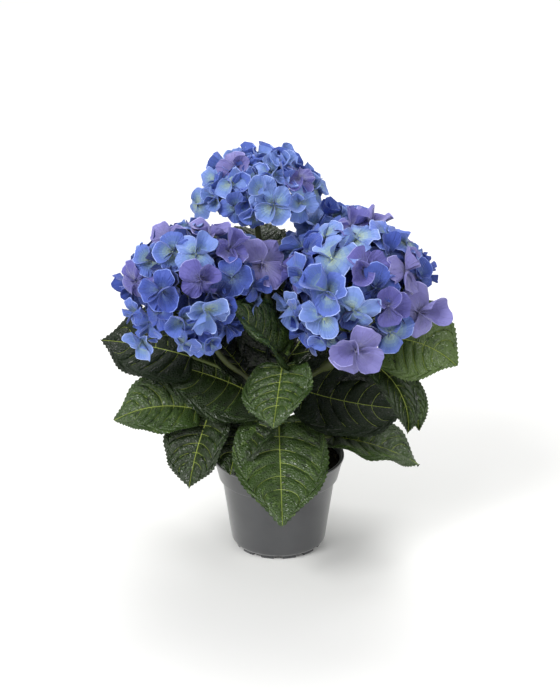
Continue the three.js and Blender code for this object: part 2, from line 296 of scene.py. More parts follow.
# Moulded polypropylene: satin, a little paler where the mould let it cool slowly
def makePotMaterial():
    sheen = {"Sheen Weight": 0.5, "Sheen Roughness": 0.4}
    material, tree, shader = newMaterial("mouldedPolypropylene", "#454648", IOR=1.49, **sheen)
    place = addGrain(tree, shader, (0.28, 0.4), 0.0035, 0.00004)
    cloud = addNode(tree, "ShaderNodeTexNoise", {"Vector": place, "Scale": 28.0, "Detail": 2.0})
    ramp = addNode(tree, "ShaderNodeValToRGB", {"Fac": cloud.outputs["Fac"]})
    stops = ((0.3, "#434446"), (0.7, "#4e4f51"))
    for element, (position, colour) in zip(ramp.color_ramp.elements, stops):
        element.position = position
        element.color = linear(colour)
    tree.links.new(ramp.outputs["Color"], shader.inputs["Base Color"])
    return material


# Dyed coconut fibre and peat crumbs over a plaster filling: dull, nearly black in the shade
def makeSoilMaterial(name, colour):
    material, tree, shader = newMaterial(name, colour, IOR=1.4)
    addGrain(tree, shader, (0.85, 1.0), 0.0016, 0.0006)
    return material


# Polyethylene drawn over wire, with a matt skin and lengthwise streaks
def makeStemMaterial(name, colour):
    material, tree, shader = newMaterial(name, colour, IOR=1.5)
    addGrain(tree, shader, (0.45, 0.65), 0.0012, 0.00012)
    return material


# Heat-pressed, latex-dipped polyester: satin, with the pressed mesh of small veins.
# The veinlets of 1.5 mm are drawn 2.6 mm apart, so that they show.
def makeLeafMaterial(name, colour, roughness=(0.25, 0.4), relief=0.00042, index=1.53):
    material, tree, shader = newMaterial(name, colour, IOR=index)
    place = addNode(tree, "ShaderNodeUVMap", uv_map="veinlets").outputs["UV"]
    addGrain(tree, shader, roughness, 2.0, place=place, detail=2.0)
    warp = addNode(tree, "ShaderNodeTexNoise", {"Vector": place, "Scale": 0.35, "Detail": 2.0})
    bend = {0: warp.outputs["Color"], "Scale": 1.6}
    bent = addNode(tree, "ShaderNodeVectorMath", bend, operation="SCALE").outputs["Vector"]
    moved = addNode(tree, "ShaderNodeVectorMath", {0: place, 1: bent}, operation="ADD")
    meshed = {"Vector": moved.outputs["Vector"], "Scale": 0.38}
    cells = addNode(tree, "ShaderNodeTexVoronoi", meshed, feature="DISTANCE_TO_EDGE")
    height = {"Value": cells.outputs["Distance"], "From Max": 0.3}
    pillow = addNode(tree, "ShaderNodeMapRange", height)
    raised = {"Height": pillow.outputs["Result"], "Distance": relief, "Strength": 1.0}
    bump = addNode(tree, "ShaderNodeBump", raised)
    tree.links.new(bump.outputs["Normal"], shader.inputs["Normal"])
    return material


# Printed polyester satin: matt with a soft sheen, pressed into fine pleats that run out to the rim
def makePetalMaterial(name, colour):
    sheen = {"Sheen Weight": 0.25, "Sheen Roughness": 0.45}
    material, tree, shader = newMaterial(name, colour, IOR=1.4, **sheen)
    place = addNode(tree, "ShaderNodeUVMap", uv_map="pleats").outputs["UV"]
    addGrain(tree, shader, (0.5, 0.75), 4 / 3, 0.002, place, 2.5)
    return material


soilMaterials = [
    makeSoilMaterial("peatDark", "#1d1712"),
    makeSoilMaterial("peatBrown", "#2d231a"),
    makeSoilMaterial("coirPale", "#43362a"),
]
# The stems' and stalks' greens are partly their own olive and partly painted shade: both are darkened for
# the shade they stand in under the leaves and heads.
stemMaterial = makeStemMaterial("coatedWireGreen", "#434b22")
stalkMaterial = makeStemMaterial("coatedWirePale", "#62703a")
# Leaf greens from dark to pale. A leaf takes one by how the light falls on it: the darkest, with its duller
# gloss, paints the shade on leaves under and between the heads, the palest paints a sheen on leaves that
# face the light, and the leaves' own greens lie between.
leafGreens = [
    makeLeafMaterial("latexLeafDark", "#122009", (0.42, 0.56), index=1.33),
    makeLeafMaterial("latexLeafDeep", "#121b0b"),
    makeLeafMaterial("latexLeafMiddle", "#243316"),
    makeLeafMaterial("latexLeafFresh", "#394e22"),
    makeLeafMaterial("latexLeafPale", "#526830"),
]
# The undersides' grey green is darkened to paint the shade that the undersides lie in.
leafUnder = makeLeafMaterial("latexLeafUnderside", "#34432c", (0.55, 0.7), 0.0002)
leafMidrib = makeStemMaterial("latexLeafMidrib", "#a5b550")
leafSideVein = makeStemMaterial("latexLeafSideVein", "#a3b358")
print("materials made for pot, soil, stems and leaves")

# Curves of the limbs, each through its points in order, with the radius at its foot and tip

limbs = {
    "trunk": {
        "through": [(0, 0, 0.078), (0.001, -0.001, 0.104), (0, 0, 0.127)],
        "radius": (0.0062, 0.0052),
    },
    "bough_top": {
        "through": [(0, 0.004, 0.112), (-0.003, 0.009, 0.190), (-0.012, 0.012, 0.255),
                    (-0.020, 0.014, 0.312)],
        "radius": (0.0034, 0.0025),
    },
    "bough_left": {
        "through": [(-0.002, -0.002, 0.114), (-0.022, -0.016, 0.162), (-0.048, -0.032, 0.194),
                    (-0.064, -0.039, 0.222)],
        "radius": (0.0031, 0.0023),
    },
    "bough_right": {
        "through": [(0.002, -0.002, 0.114), (0.018, -0.010, 0.160), (0.044, -0.020, 0.184),
                    (0.062, -0.036, 0.208)],
        "radius": (0.0031, 0.0023),
    },
    "bough_back_left": {
        "through": [(-0.003, 0.004, 0.114), (-0.018, 0.026, 0.160), (-0.042, 0.052, 0.182),
                    (-0.055, 0.064, 0.202)],
        "radius": (0.0031, 0.0023),
    },
    "bough_back_right": {
        "through": [(0.003, 0.004, 0.114), (0.016, 0.026, 0.162), (0.036, 0.054, 0.196),
                    (0.043, 0.066, 0.222)],
        "radius": (0.0031, 0.0023),
    },
    "shoot_front": {
        "through": [(0, -0.003, 0.106), (0, -0.018, 0.140), (0.002, -0.036, 0.176),
                    (0.004, -0.048, 0.201)],
        "radius": (0.0028, 0.0021),
    },
    "shoot_left": {
        "through": [(-0.003, -0.003, 0.106), (-0.024, -0.012, 0.130), (-0.048, -0.020, 0.139),
                    (-0.064, -0.024, 0.138)],
        "radius": (0.0026, 0.0021),
    },
    "shoot_right": {
        "through": [(0.003, -0.003, 0.098), (0.018, -0.006, 0.109), (0.034, -0.010, 0.109)],
        "radius": (0.0026, 0.0021),
    },
    "shoot_back": {
        "through": [(0, 0.003, 0.104), (0.001, 0.020, 0.128), (0, 0.042, 0.142)],
        "radius": (0.0026, 0.0021),
    },
}


# Evenly spaced points on a centripetal Catmull-Rom curve
def smoothCurve(through, count=81):
    p = np.array(through, float)
    p = np.vstack([2 * p[0] - p[1], p, 2 * p[-1] - p[-2]])
    t = np.linspace(0, 1, 40, endpoint=False)[:, None]
    parts = []
    for a, b, c, d in zip(p, p[1:], p[2:], p[3:]):
        u, v, w = (np.linalg.norm(q) ** 0.5 for q in (b - a, c - b, d - c))
        leave = ((b - a) / u - (c - a) / (u + v) + (c - b) / v) * v
        arrive = ((c - b) / v - (d - b) / (v + w) + (d - c) / w) * v
        ends = (2 * t**3 - 3 * t**2 + 1) * b + (3 * t**2 - 2 * t**3) * c
        parts.append(ends + (t**3 - 2 * t**2 + t) * leave + (t**3 - t**2) * arrive)
    dense = np.vstack(parts + [p[-2:-1]])
    along = np.append(0, np.cumsum(np.linalg.norm(np.diff(dense, axis=0), axis=1)))
    even = np.linspace(0, along[-1], count)
    return np.column_stack([np.interp(even, along, dense[:, k]) for k in range(3)])


# Place on a line of points, counted in points from its first
def pointAt(line, station):
    count = np.arange(len(line))
    return np.stack([np.interp(station, count, line[:, k]) for k in range(3)], axis=-1)


limbCurves = {name: smoothCurve(limb["through"]) for name, limb in limbs.items()}


def onLimb(name, share):
    curve = limbCurves[name]
    return pointAt(curve, share * (len(curve) - 1))


# Pot: a turned wall with rounded edges, twelve low feet and six drain holes

pot = {
    "rimRadius": 0.060,
    "height": 0.088,
    "collarHeight": 0.021,
    "wallTopRadius": 0.0515,
    "wallFootRadius": 0.0436,
    "wall": 0.0016,
    "floorHeight": 0.003,
    "footRing": (0.0345, 0.0395),
    "feet": 12,
    "footArc": 18,
    "drainRadius": 0.004,
    "drainRing": 0.027,
    "drains": 6,
    "segments": 144,
    "edge": 0.0006,        # how far the edges are rounded
}


def potProfile():
    collarFoot = pot["height"] - pot["collarHeight"]
    rim, wall, floor, top = pot["rimRadius"], pot["wall"], pot["floorHeight"], pot["height"]
    lip, collar = rim - 0.001, rim - 0.0055
    foot, waist = pot["wallFootRadius"], pot["wallTopRadius"]
    return [
        (0, floor), (foot - 0.003, floor), (foot - 0.0008, floor + 0.0024), (foot, floor + 0.006),
        (waist, collarFoot - 0.0012), (collar, collarFoot), (lip, top - 0.0026), (rim, top - 0.0020),
        (rim, top), (lip - wall, top),
        (collar - wall, collarFoot + 0.0024), (waist - wall, collarFoot + 0.0006),
        (foot - wall, floor + 0.006), (foot - 0.003 - wall, floor + wall), (0, floor + wall),
    ]


# Turns a profile of (radius, height) round Z; the first and last points lie on the axis
def turned(name, profile, segments):
    angles = np.linspace(0, wholeTurn, segments, endpoint=False)
    rings = [(r * np.cos(a), r * np.sin(a), z) for r, z in profile[1:-1] for a in angles]
    vertices = [(0, 0, profile[0][1]), *rings, (0, 0, profile[-1][1])]
    last = len(vertices) - 1
    faces = []
    for i in range(segments):
        j = (i + 1) % segments
        faces.append((0, 1 + j, 1 + i))
        faces.append((last, last - segments + i, last - segments + j))
        for ring in range(len(profile) - 3):
            a, b = 1 + ring * segments, 1 + (ring + 1) * segments
            faces.append((a + i, a + j, b + j, b + i))
    return meshObject(name, vertices, faces)


# Upright prism on a ring of (x, y) places
def prism(name, ring, low, high):
    count = len(ring)
    vertices = [(x, y, low) for x, y in ring] + [(x, y, high) for x, y in ring]
    sides = [(i, (i + 1) % count, count + (i + 1) % count, count + i) for i in range(count)]
    return meshObject(name, vertices, [tuple(range(count))[::-1], tuple(range(count, 2 * count)), *sides])


def potFoot():
    inner, outer = pot["footRing"]
    angles = np.radians(np.linspace(-pot["footArc"] / 2, pot["footArc"] / 2, 7))
    ring = [(outer * np.cos(a), outer * np.sin(a)) for a in angles]
    ring += [(inner * np.cos(a), inner * np.sin(a)) for a in angles[::-1]]
    return prism("foot", ring, 0, pot["floorHeight"] + pot["wall"] / 2)


# What each drain hole takes away, through the floor and a little beyond
def drainPlug():
    radius = pot["drainRadius"]
    angles = np.linspace(0, wholeTurn, 24, endpoint=False)
    ring = [(pot["drainRing"] + radius * np.cos(a), radius * np.sin(a)) for a in angles]
    return prism("drainPlug", ring, -0.002, 4 * pot["floorHeight"])


# Copies of a shape round the axis, the first half a step on
def addRing(tree, shape, count):
    step = addNode(tree, "ShaderNodeMath", {0: wholeTurn, 1: count}, operation="DIVIDE").outputs[0]
    index = addNode(tree, "GeometryNodeInputIndex").outputs[0]
    middle = addNode(tree, "ShaderNodeMath", {0: index, 1: 0.5}, operation="ADD").outputs[0]
    angle = addNode(tree, "ShaderNodeMath", {0: middle, 1: step}, operation="MULTIPLY").outputs[0]
    turn = addNode(tree, "ShaderNodeCombineXYZ", {"Z": angle}).outputs[0]
    points = addNode(tree, "GeometryNodePoints", {"Count": count}).outputs[0]
    info = addNode(tree, "GeometryNodeObjectInfo", {"Object": shape}).outputs["Geometry"]
    placed = {"Points": points, "Instance": info, "Rotation": turn}
    copies = addNode(tree, "GeometryNodeInstanceOnPoints", placed).outputs[0]
    return addNode(tree, "GeometryNodeRealizeInstances", {"Geometry": copies}).outputs[0]


def makePot():
    body = turned("potBody", potProfile(), pot["segments"])
    bevel = body.modifiers.new("edges", "BEVEL")
    bevel.width = pot["edge"]
    bevel.segments = 3
    bevel.limit_method = "ANGLE"
    bevel.angle_limit = math.radians(25)
    tree, given, result = newTree(
        "potTree", Foot="object", Feet="count", Drain="object", Drains="count", Finish="material")
    feet = addRing(tree, given["Foot"], given["Feet"])
    drains = addRing(tree, given["Drain"], given["Drains"])
    footed = addNode(tree, "GeometryNodeMeshBoolean", operation="UNION")
    for part in (given["Geometry"], feet):
        tree.links.new(part, footed.inputs["Mesh 2"])
    drilled = {"Mesh 1": footed.outputs[0], "Mesh 2": drains}
    drained = addNode(tree, "GeometryNodeMeshBoolean", drilled, operation="DIFFERENCE")
    whole = addNode(tree, "GeometryNodeRealizeInstances", {"Geometry": drained.outputs[0]})
    finished = {"Geometry": whole.outputs[0], "Material": given["Finish"]}
    tree.links.new(addNode(tree, "GeometryNodeSetMaterial", finished).outputs[0], result)
    tools = {"Foot": potFoot(), "Drain": drainPlug()}
    piece = grow(
        "nurseryPot", body, tree, Feet=pot["feet"], Drains=pot["drains"], Finish=makePotMaterial(), **tools)
    piece.data.set_sharp_from_angle(angle=math.radians(40))
    for tool in tools.values():
        bpy.data.objects.remove(tool)
    keepPiece(piece, "pot", "pot")


makePot()
print("pot made")

# Soil: a filling with a heaped, crumbly top

soil = {
    "top": 0.0815,
    "gap": 0.0003,         # between the filling and the pot's wall
    "heap": 0.0064,        # height of the heaps, over the whole range of their noise
    "crumbs": 900,
    "crumbSize": (0.0009, 0.0024),
    "density": 100000.0,   # crumbs strewn on each square metre, before all but the first are taken away
    "seed": 11,
}


# The lump that the crumbs are copies of
def crumbShape():
    shape = bmesh.new()
    bmesh.ops.create_icosphere(shape, subdivisions=1, radius=1.0)
    bmesh.ops.scale(shape, vec=(1.0, 0.8, 0.65), verts=shape.verts)
    mesh = bpy.data.meshes.new("crumbShape")
    shape.to_mesh(mesh)
    shape.free()
    return newObject("crumbShape", mesh)


# The pot's inside up to the soil's top, and flat rings from there to the middle
def fillingProfile():
    inner = [(r - soil["gap"], z) for r, z in potProfile()[-2:-6:-1]]
    inner[0] = (inner[0][0], inner[0][1] + soil["gap"])
    edge = inner[-1][0] + 0.0024
    rings = [(edge * share, soil["top"]) for share in np.linspace(1, 0.06, 26)]
    return [(0, inner[0][1]), *inner, *rings, (0, soil["top"])]


def makeSoil():
    tree, given, result = newTree(
        "soilTree", Crumb="object", Crumbs="count", Smallest="number", Largest="number",
        Heap="number", Seed="count", Ground="material", Brown="material", Pale="material")
    position = addNode(tree, "GeometryNodeInputPosition").outputs[0]
    height = addNode(tree, "ShaderNodeSeparateXYZ", {0: position}).outputs["Z"]
    above = {0: height, 1: soil["top"] - 0.0002}
    onTop = addNode(tree, "FunctionNodeCompare", above, operation="GREATER_THAN").outputs[0]
    lumps = addNode(tree, "ShaderNodeTexNoise", {"Vector": position, "Scale": 90.0, "Detail": 5.0})
    level = {0: lumps.outputs["Fac"], 1: 0.45}
    centred = addNode(tree, "ShaderNodeMath", level, operation="SUBTRACT").outputs[0]
    lift = addNode(tree, "ShaderNodeMath", {0: centred, 1: given["Heap"]}, operation="MULTIPLY")
    offset = addNode(tree, "ShaderNodeCombineXYZ", {"Z": lift.outputs[0]}).outputs[0]
    moved = {"Geometry": given["Geometry"], "Selection": onTop, "Offset": offset}
    ground = addNode(tree, "GeometryNodeSetPosition", moved).outputs[0]
    strewn = {"Mesh": ground, "Selection": onTop, "Density": soil["density"], "Seed": given["Seed"]}
    scattered = addNode(tree, "GeometryNodeDistributePointsOnFaces", strewn).outputs["Points"]
    index = addNode(tree, "GeometryNodeInputIndex").outputs[0]
    past = {2: index, 3: given["Crumbs"]}
    spare = addNode(tree, "FunctionNodeCompare", past, data_type="INT", operation="GREATER_EQUAL")
    fewer = {"Geometry": scattered, "Selection": spare.outputs[0]}
    points = addNode(tree, "GeometryNodeDeleteGeometry", fewer).outputs[0]
    sizes = {2: given["Smallest"], 3: given["Largest"], "Seed": given["Seed"]}
    size = addNode(tree, "FunctionNodeRandomValue", sizes, data_type="FLOAT").outputs[1]
    turns = {1: (wholeTurn,) * 3, "Seed": given["Seed"]}
    spin = addNode(tree, "FunctionNodeRandomValue", turns, data_type="FLOAT_VECTOR").outputs[0]
    info = addNode(tree, "GeometryNodeObjectInfo", {"Object": given["Crumb"]}).outputs["Geometry"]
    copied = {"Points": points, "Instance": info, "Rotation": spin, "Scale": size}
    crumbs = addNode(tree, "GeometryNodeInstanceOnPoints", copied).outputs[0]
    tint = addNode(tree, "FunctionNodeRandomValue", {"Seed": given["Seed"]}, data_type="FLOAT")
    tagged = addNode(
        tree, "GeometryNodeStoreNamedAttribute",
        {"Geometry": crumbs, "Name": "tint", "Value": tint.outputs[1]}, domain="INSTANCE", data_type="FLOAT")
    loose = addNode(tree, "GeometryNodeRealizeInstances", {"Geometry": tagged.outputs[0]}).outputs[0]
    both = addNode(tree, "GeometryNodeJoinGeometry")
    for part in (loose, ground):
        tree.links.new(part, both.inputs[0])
    last = both.outputs[0]
    stored = addNode(tree, "GeometryNodeInputNamedAttribute", {"Name": "tint"}, data_type="FLOAT")
    for finish, least in (("Ground", -1.0), ("Brown", 0.35), ("Pale", 0.8)):
        past = {0: stored.outputs[0], 1: least}
        chosen = addNode(tree, "FunctionNodeCompare", past, operation="GREATER_THAN").outputs[0]
        finished = {"Geometry": last, "Selection": chosen, "Material": given[finish]}
        last = addNode(tree, "GeometryNodeSetMaterial", finished).outputs[0]
    tree.links.new(last, result)
    crumb = crumbShape()
    piece = grow(
        "pottingSoil", turned("filling", fillingProfile(), 96), tree, Crumb=crumb, Crumbs=soil["crumbs"],
        Smallest=soil["crumbSize"][0], Largest=soil["crumbSize"][1], Heap=soil["heap"], Seed=soil["seed"],
        Ground=soilMaterials[0], Brown=soilMaterials[1], Pale=soilMaterials[2])
    bpy.data.objects.remove(crumb)
    keepPiece(piece, "soil", "soil")


makeSoil()
print("soil made")

# Tubes drawn along polylines: stems, leaf stalks and flower stalks


# One polyline mesh from several lines of points, each with its radii along it
def polylines(name, lines):
    vertices = np.vstack([points for points, radii in lines])
    starts = np.cumsum([0] + [len(points) for points, radii in lines])
    edges = [(i, i + 1) for a, b in zip(starts, starts[1:]) for i in range(a, b - 1)]
    thing = meshObject(name, vertices, [], edges)
    thickness = np.concatenate([radii for points, radii in lines])
    setAttribute(thing, "thickness", "FLOAT", "POINT", thickness)
    return thing


# Named inputs: sides of the tube, its relief and the relief's size along the surface, all in metres
def makeTubeTree():
    tree, given, result = newTree(
        "tubeTree", Sides="count", Relief="number", Grain="number", Finish="material")
    curve = addNode(tree, "GeometryNodeMeshToCurve", {"Mesh": given["Geometry"]}).outputs[0]
    radius = addNode(tree, "GeometryNodeInputNamedAttribute", {"Name": "thickness"}, data_type="FLOAT")
    circle = {"Resolution": given["Sides"], "Radius": 1.0}
    section = addNode(tree, "GeometryNodeCurvePrimitiveCircle", circle).outputs[0]
    tube = {"Curve": curve, "Profile Curve": section, "Scale": radius.outputs[0], "Fill Caps": True}
    skin = addNode(tree, "GeometryNodeCurveToMesh", tube).outputs[0]
    size = addNode(tree, "ShaderNodeMath", {0: 1.0, 1: given["Grain"]}, operation="DIVIDE").outputs[0]
    noise = addNode(tree, "ShaderNodeTexNoise", {"Scale": size, "Detail": 3.0}).outputs["Fac"]
    centred = addNode(tree, "ShaderNodeMath", {0: noise, 1: 0.5}, operation="SUBTRACT").outputs[0]
    height = addNode(tree, "ShaderNodeMath", {0: centred, 1: given["Relief"]}, operation="MULTIPLY")
    normal = addNode(tree, "GeometryNodeInputNormal").outputs[0]
    outward = {0: normal, "Scale": height.outputs[0]}
    offset = addNode(tree, "ShaderNodeVectorMath", outward, operation="SCALE").outputs[0]
    rough = addNode(tree, "GeometryNodeSetPosition", {"Geometry": skin, "Offset": offset}).outputs[0]
    smooth = addNode(tree, "GeometryNodeSetShadeSmooth", {"Geometry": rough}).outputs[0]
    whole = addNode(tree, "GeometryNodeRealizeInstances", {"Geometry": smooth}).outputs[0]
    finished = {"Geometry": whole, "Material": given["Finish"]}
    tree.links.new(addNode(tree, "GeometryNodeSetMaterial", finished).outputs[0], result)
    return tree


tubeTree = makeTubeTree()


# Tubes along the lines, with the sides, relief and grain of one kind of stem
def makeTubes(name, lines, kind, finish):
    return grow(
        name, polylines(f"{name}Lines", lines), tubeTree, Sides=kind["sides"], Relief=kind["relief"],
        Grain=kind["grain"], Finish=finish)


# Leaves. Each leaves its limb at a share of the limb's length and heads for an azimuth, on a stalk and
# then a blade. Its slope goes from rise to droop, roll lifts its left edge, fold lifts both edges.
# Angles are in degrees. The waves, the mottle and the gaps in the veins come from the seed.

# A leaf's green is picked by how light falls on it: the dark greens paint shade, the pale one a sheen.
leafKeys = ("at", "azimuth", "stalk", "length", "width", "rise", "droop", "roll", "fold", "green")
foliage = {
    "leaves_front_low": ("shoot_front", [
        (0.34, -88, 0.010, 0.112, 0.084, -34, -28, -4, 10, 3),
    ]),
    "leaves_front_high": ("shoot_front", [
        (0.97, -98, 0.003, 0.066, 0.063, -32, -32, 16, 8, 3),
        (0.97, -147, 0.003, 0.083, 0.058, 60, 36, -42, 24, 3),
        (0.99, -60, 0.001, 0.013, 0.007, 70, 30, 0, 20, 4),
        (0.99, 170, 0.001, 0.015, 0.007, 75, 40, 0, 20, 4),
        (0.86, 36, 0.005, 0.074, 0.066, 54, 30, 0, 14, 1),
    ]),
    "leaves_right_mid": ("bough_right", [
        (0.38, -2, 0.003, 0.101, 0.090, -20, -2, 28, 8, 0),
    ]),
    "leaves_right_low": ("shoot_right", [
        (0.90, -7, 0.017, 0.085, 0.080, 5, -30, 2, 10, 3),
        (0.90, 52, 0.012, 0.088, 0.072, 6, -18, 6, 12, 2),
    ]),
    "leaves_right_high": ("bough_right", [
        (0.78, -16, 0.050, 0.075, 0.080, 52, -40, 38, 6, 4),
        (0.74, -36, 0.046, 0.078, 0.032, 44, -96, 50, 40, 2),
        (0.70, -22, 0.054, 0.068, 0.030, 36, -88, 60, 30, 3),
    ]),
    "leaves_left_high": ("bough_left", [
        (0.48, 172, 0.053, 0.085, 0.088, 26, 1, -24, 8, 0),
    ]),
    "leaves_left_mid": ("bough_left", [
        (0.28, -176, 0.006, 0.100, 0.096, 34, 10, -34, 8, 2),
        (0.36, 150, 0.008, 0.074, 0.062, 52, 30, 0, 15, 1),
    ]),
    "leaves_left_low": ("shoot_left", [
        (0.97, -179, 0.010, 0.079, 0.064, 25, -31, -30, 10, 3),
        (0.97, -112, 0.002, 0.070, 0.062, -30, -66, 10, 14, 2),
        (0.45, -106, 0.006, 0.066, 0.064, 0, -48, 6, 12, 2),
    ]),
    "leaves_middle": ("bough_top", [
        (0.26, 100, 0.004, 0.086, 0.070, 80, 50, 0, 12, 1),
        (0.40, 56, 0.004, 0.080, 0.062, 76, 44, 0, 12, 0),
    ]),
    "leaves_top": ("bough_top", [
        (0.80, 174, 0.005, 0.054, 0.040, 28, 12, 10, 14, 2),
        (0.80, 96, 0.006, 0.060, 0.046, 24, -10, 0, 14, 2),
    ]),
    "leaves_back_right": ("bough_back_right", [
        (0.84, 28, 0.020, 0.082, 0.070, -10, -26, 8, 10, 2),
        (0.84, 96, 0.009, 0.076, 0.066, -24, -52, -8, 12, 3),
        (0.45, 12, 0.012, 0.084, 0.070, -4, -16, 14, 10, 1),
    ]),
    "leaves_back_left": ("bough_back_left", [
        (0.84, 150, 0.018, 0.084, 0.072, -8, -24, -8, 10, 2),
        (0.84, 74, 0.010, 0.078, 0.066, -24, -50, 8, 12, 3),
        (0.45, 166, 0.014, 0.086, 0.072, 0, -18, -12, 10, 1),
    ]),
    "leaves_back_low": ("shoot_back", [
        (0.94, 84, 0.005, 0.090, 0.080, -12, -42, 0, 10, 2),
        (0.94, 152, 0.008, 0.086, 0.074, -14, -36, -6, 10, 3),
        (0.94, 24, 0.008, 0.084, 0.070, -14, -36, 6, 10, 1),
    ]),
}

blade = {
    "veinPairs": 6,
    "firstVein": 0.035,    # shares of the blade's length
    "lastVein": 0.66,
    "baseRows": 10,        # rows of the mesh before the first side vein
    "fieldRows": 8,        # between two side veins
    "tipRows": 20,         # after the last one
    "spread": (0.10, 0.21, 0.32, 0.43, 0.54, 0.65, 0.76, 0.86, 0.94, 1.0),
    "sweep": 2.3,          # a side vein runs further towards the tip as this grows from 1
    "lobes": 0.09,         # how far the base bulges back past the stalk
    "midrib": (0.0005, 0.0002),      # half widths at the stalk and at the tip
    "sideVein": (0.00024, 0.00013),  # half widths at the midrib and near the edge
    "veinEnd": 0.86,
    "ridge": 0.0003,       # how far a side vein stands out above, and the midrib
    "ribAbove": 0.0004,
    "ribBelow": 0.0006,    # and a side vein below, and the midrib at the stalk and at the tip
    "midribBelow": (0.0016, 0.0006),
    "tooth": 0.0021,
    "toothRows": 3,
    "quilt": 0.0020,
    "wave": 0.0026,
    "thickness": 0.0005,
    "mottle": 0.16,        # share of the faces in a neighbouring green
    "gaps": 0.28,          # share of a side vein's length that the print leaves out
    "seed": 3,
}
leafStalk = {"radius": (0.0019, 0.0013), "sides": 10, "relief": 0.0003, "grain": 0.002}


# A leaf's path from its limb: places and directions along it, and the direction to its right
def leafPath(leaf, start):
    steps = 24
    total = leaf["stalk"] + leaf["length"]
    slope = np.radians(np.linspace(leaf["rise"], leaf["droop"], steps + 1))
    around = math.radians(leaf["azimuth"])
    level = np.cos(slope)
    tangents = np.column_stack([level * np.cos(around), level * np.sin(around), np.sin(slope)])
    points = start + np.vstack([np.zeros(3), np.cumsum(tangents[1:] * total / steps, axis=0)])
    right = np.array([math.sin(around), -math.cos(around), 0.0])

    def place(distance):
        station = np.asarray(distance) / total * steps
        tangent = pointAt(tangents, station)
        return pointAt(points, station), tangent / np.linalg.norm(tangent, axis=-1, keepdims=True)

    return place, right


# Half width of the blade at a share of its length, as a share of its largest half width
def bladeShape(along):
    return 2.212 * along**0.45 * (1 - along) ** 0.75 * (1 - 0.55 * smoothStep(0.7, 1.0, along))


# The base bulges back past the stalk, the more so the further out
def bladeStation(along, spread):
    turn = along / 0.06
    return along - blade["lobes"] * turn * np.exp(1 - turn) * spread**2


# Rows across the blade as (place on the midrib, share of the way to the next side vein, kind):
# kind -1, 0 and 1 are the two sides and the crest of a side vein, and 2 is any other row.
def bladeRows():
    veins = np.linspace(blade["firstVein"], blade["lastVein"], blade["veinPairs"])
    base = blade["baseRows"]
    rows = [(veins[0] * step / (base + 1), step / (base + 1), 2) for step in range(base)]
    for number, vein in enumerate(veins):
        last = number + 1 == len(veins)
        after = 1.0 if last else veins[number + 1]
        count = blade["tipRows"] if last else blade["fieldRows"]
        rows += [(vein, 0.0, side) for side in (-1, 0, 1)]
        for step in range(1, count + 1):
            rows.append((vein + (after - vein) * step / (count + 1), step / (count + 1), 2))
    rows.append((1.0, 0.5, 2))
    return rows


rowTable = bladeRows()


# Places along the margin of one row after another, evenly spaced round the blade
def marginStations(length, halfWidth):
    along = np.linspace(0, 1, 400) ** 2
    margin = np.column_stack([bladeStation(along, 1) * length, bladeShape(along) * halfWidth])
    arc = np.append(0, np.cumsum(np.linalg.norm(np.diff(margin, axis=0), axis=1)))
    return np.interp(np.linspace(0, arc[-1], len(rowTable)), arc, along)[:, None]


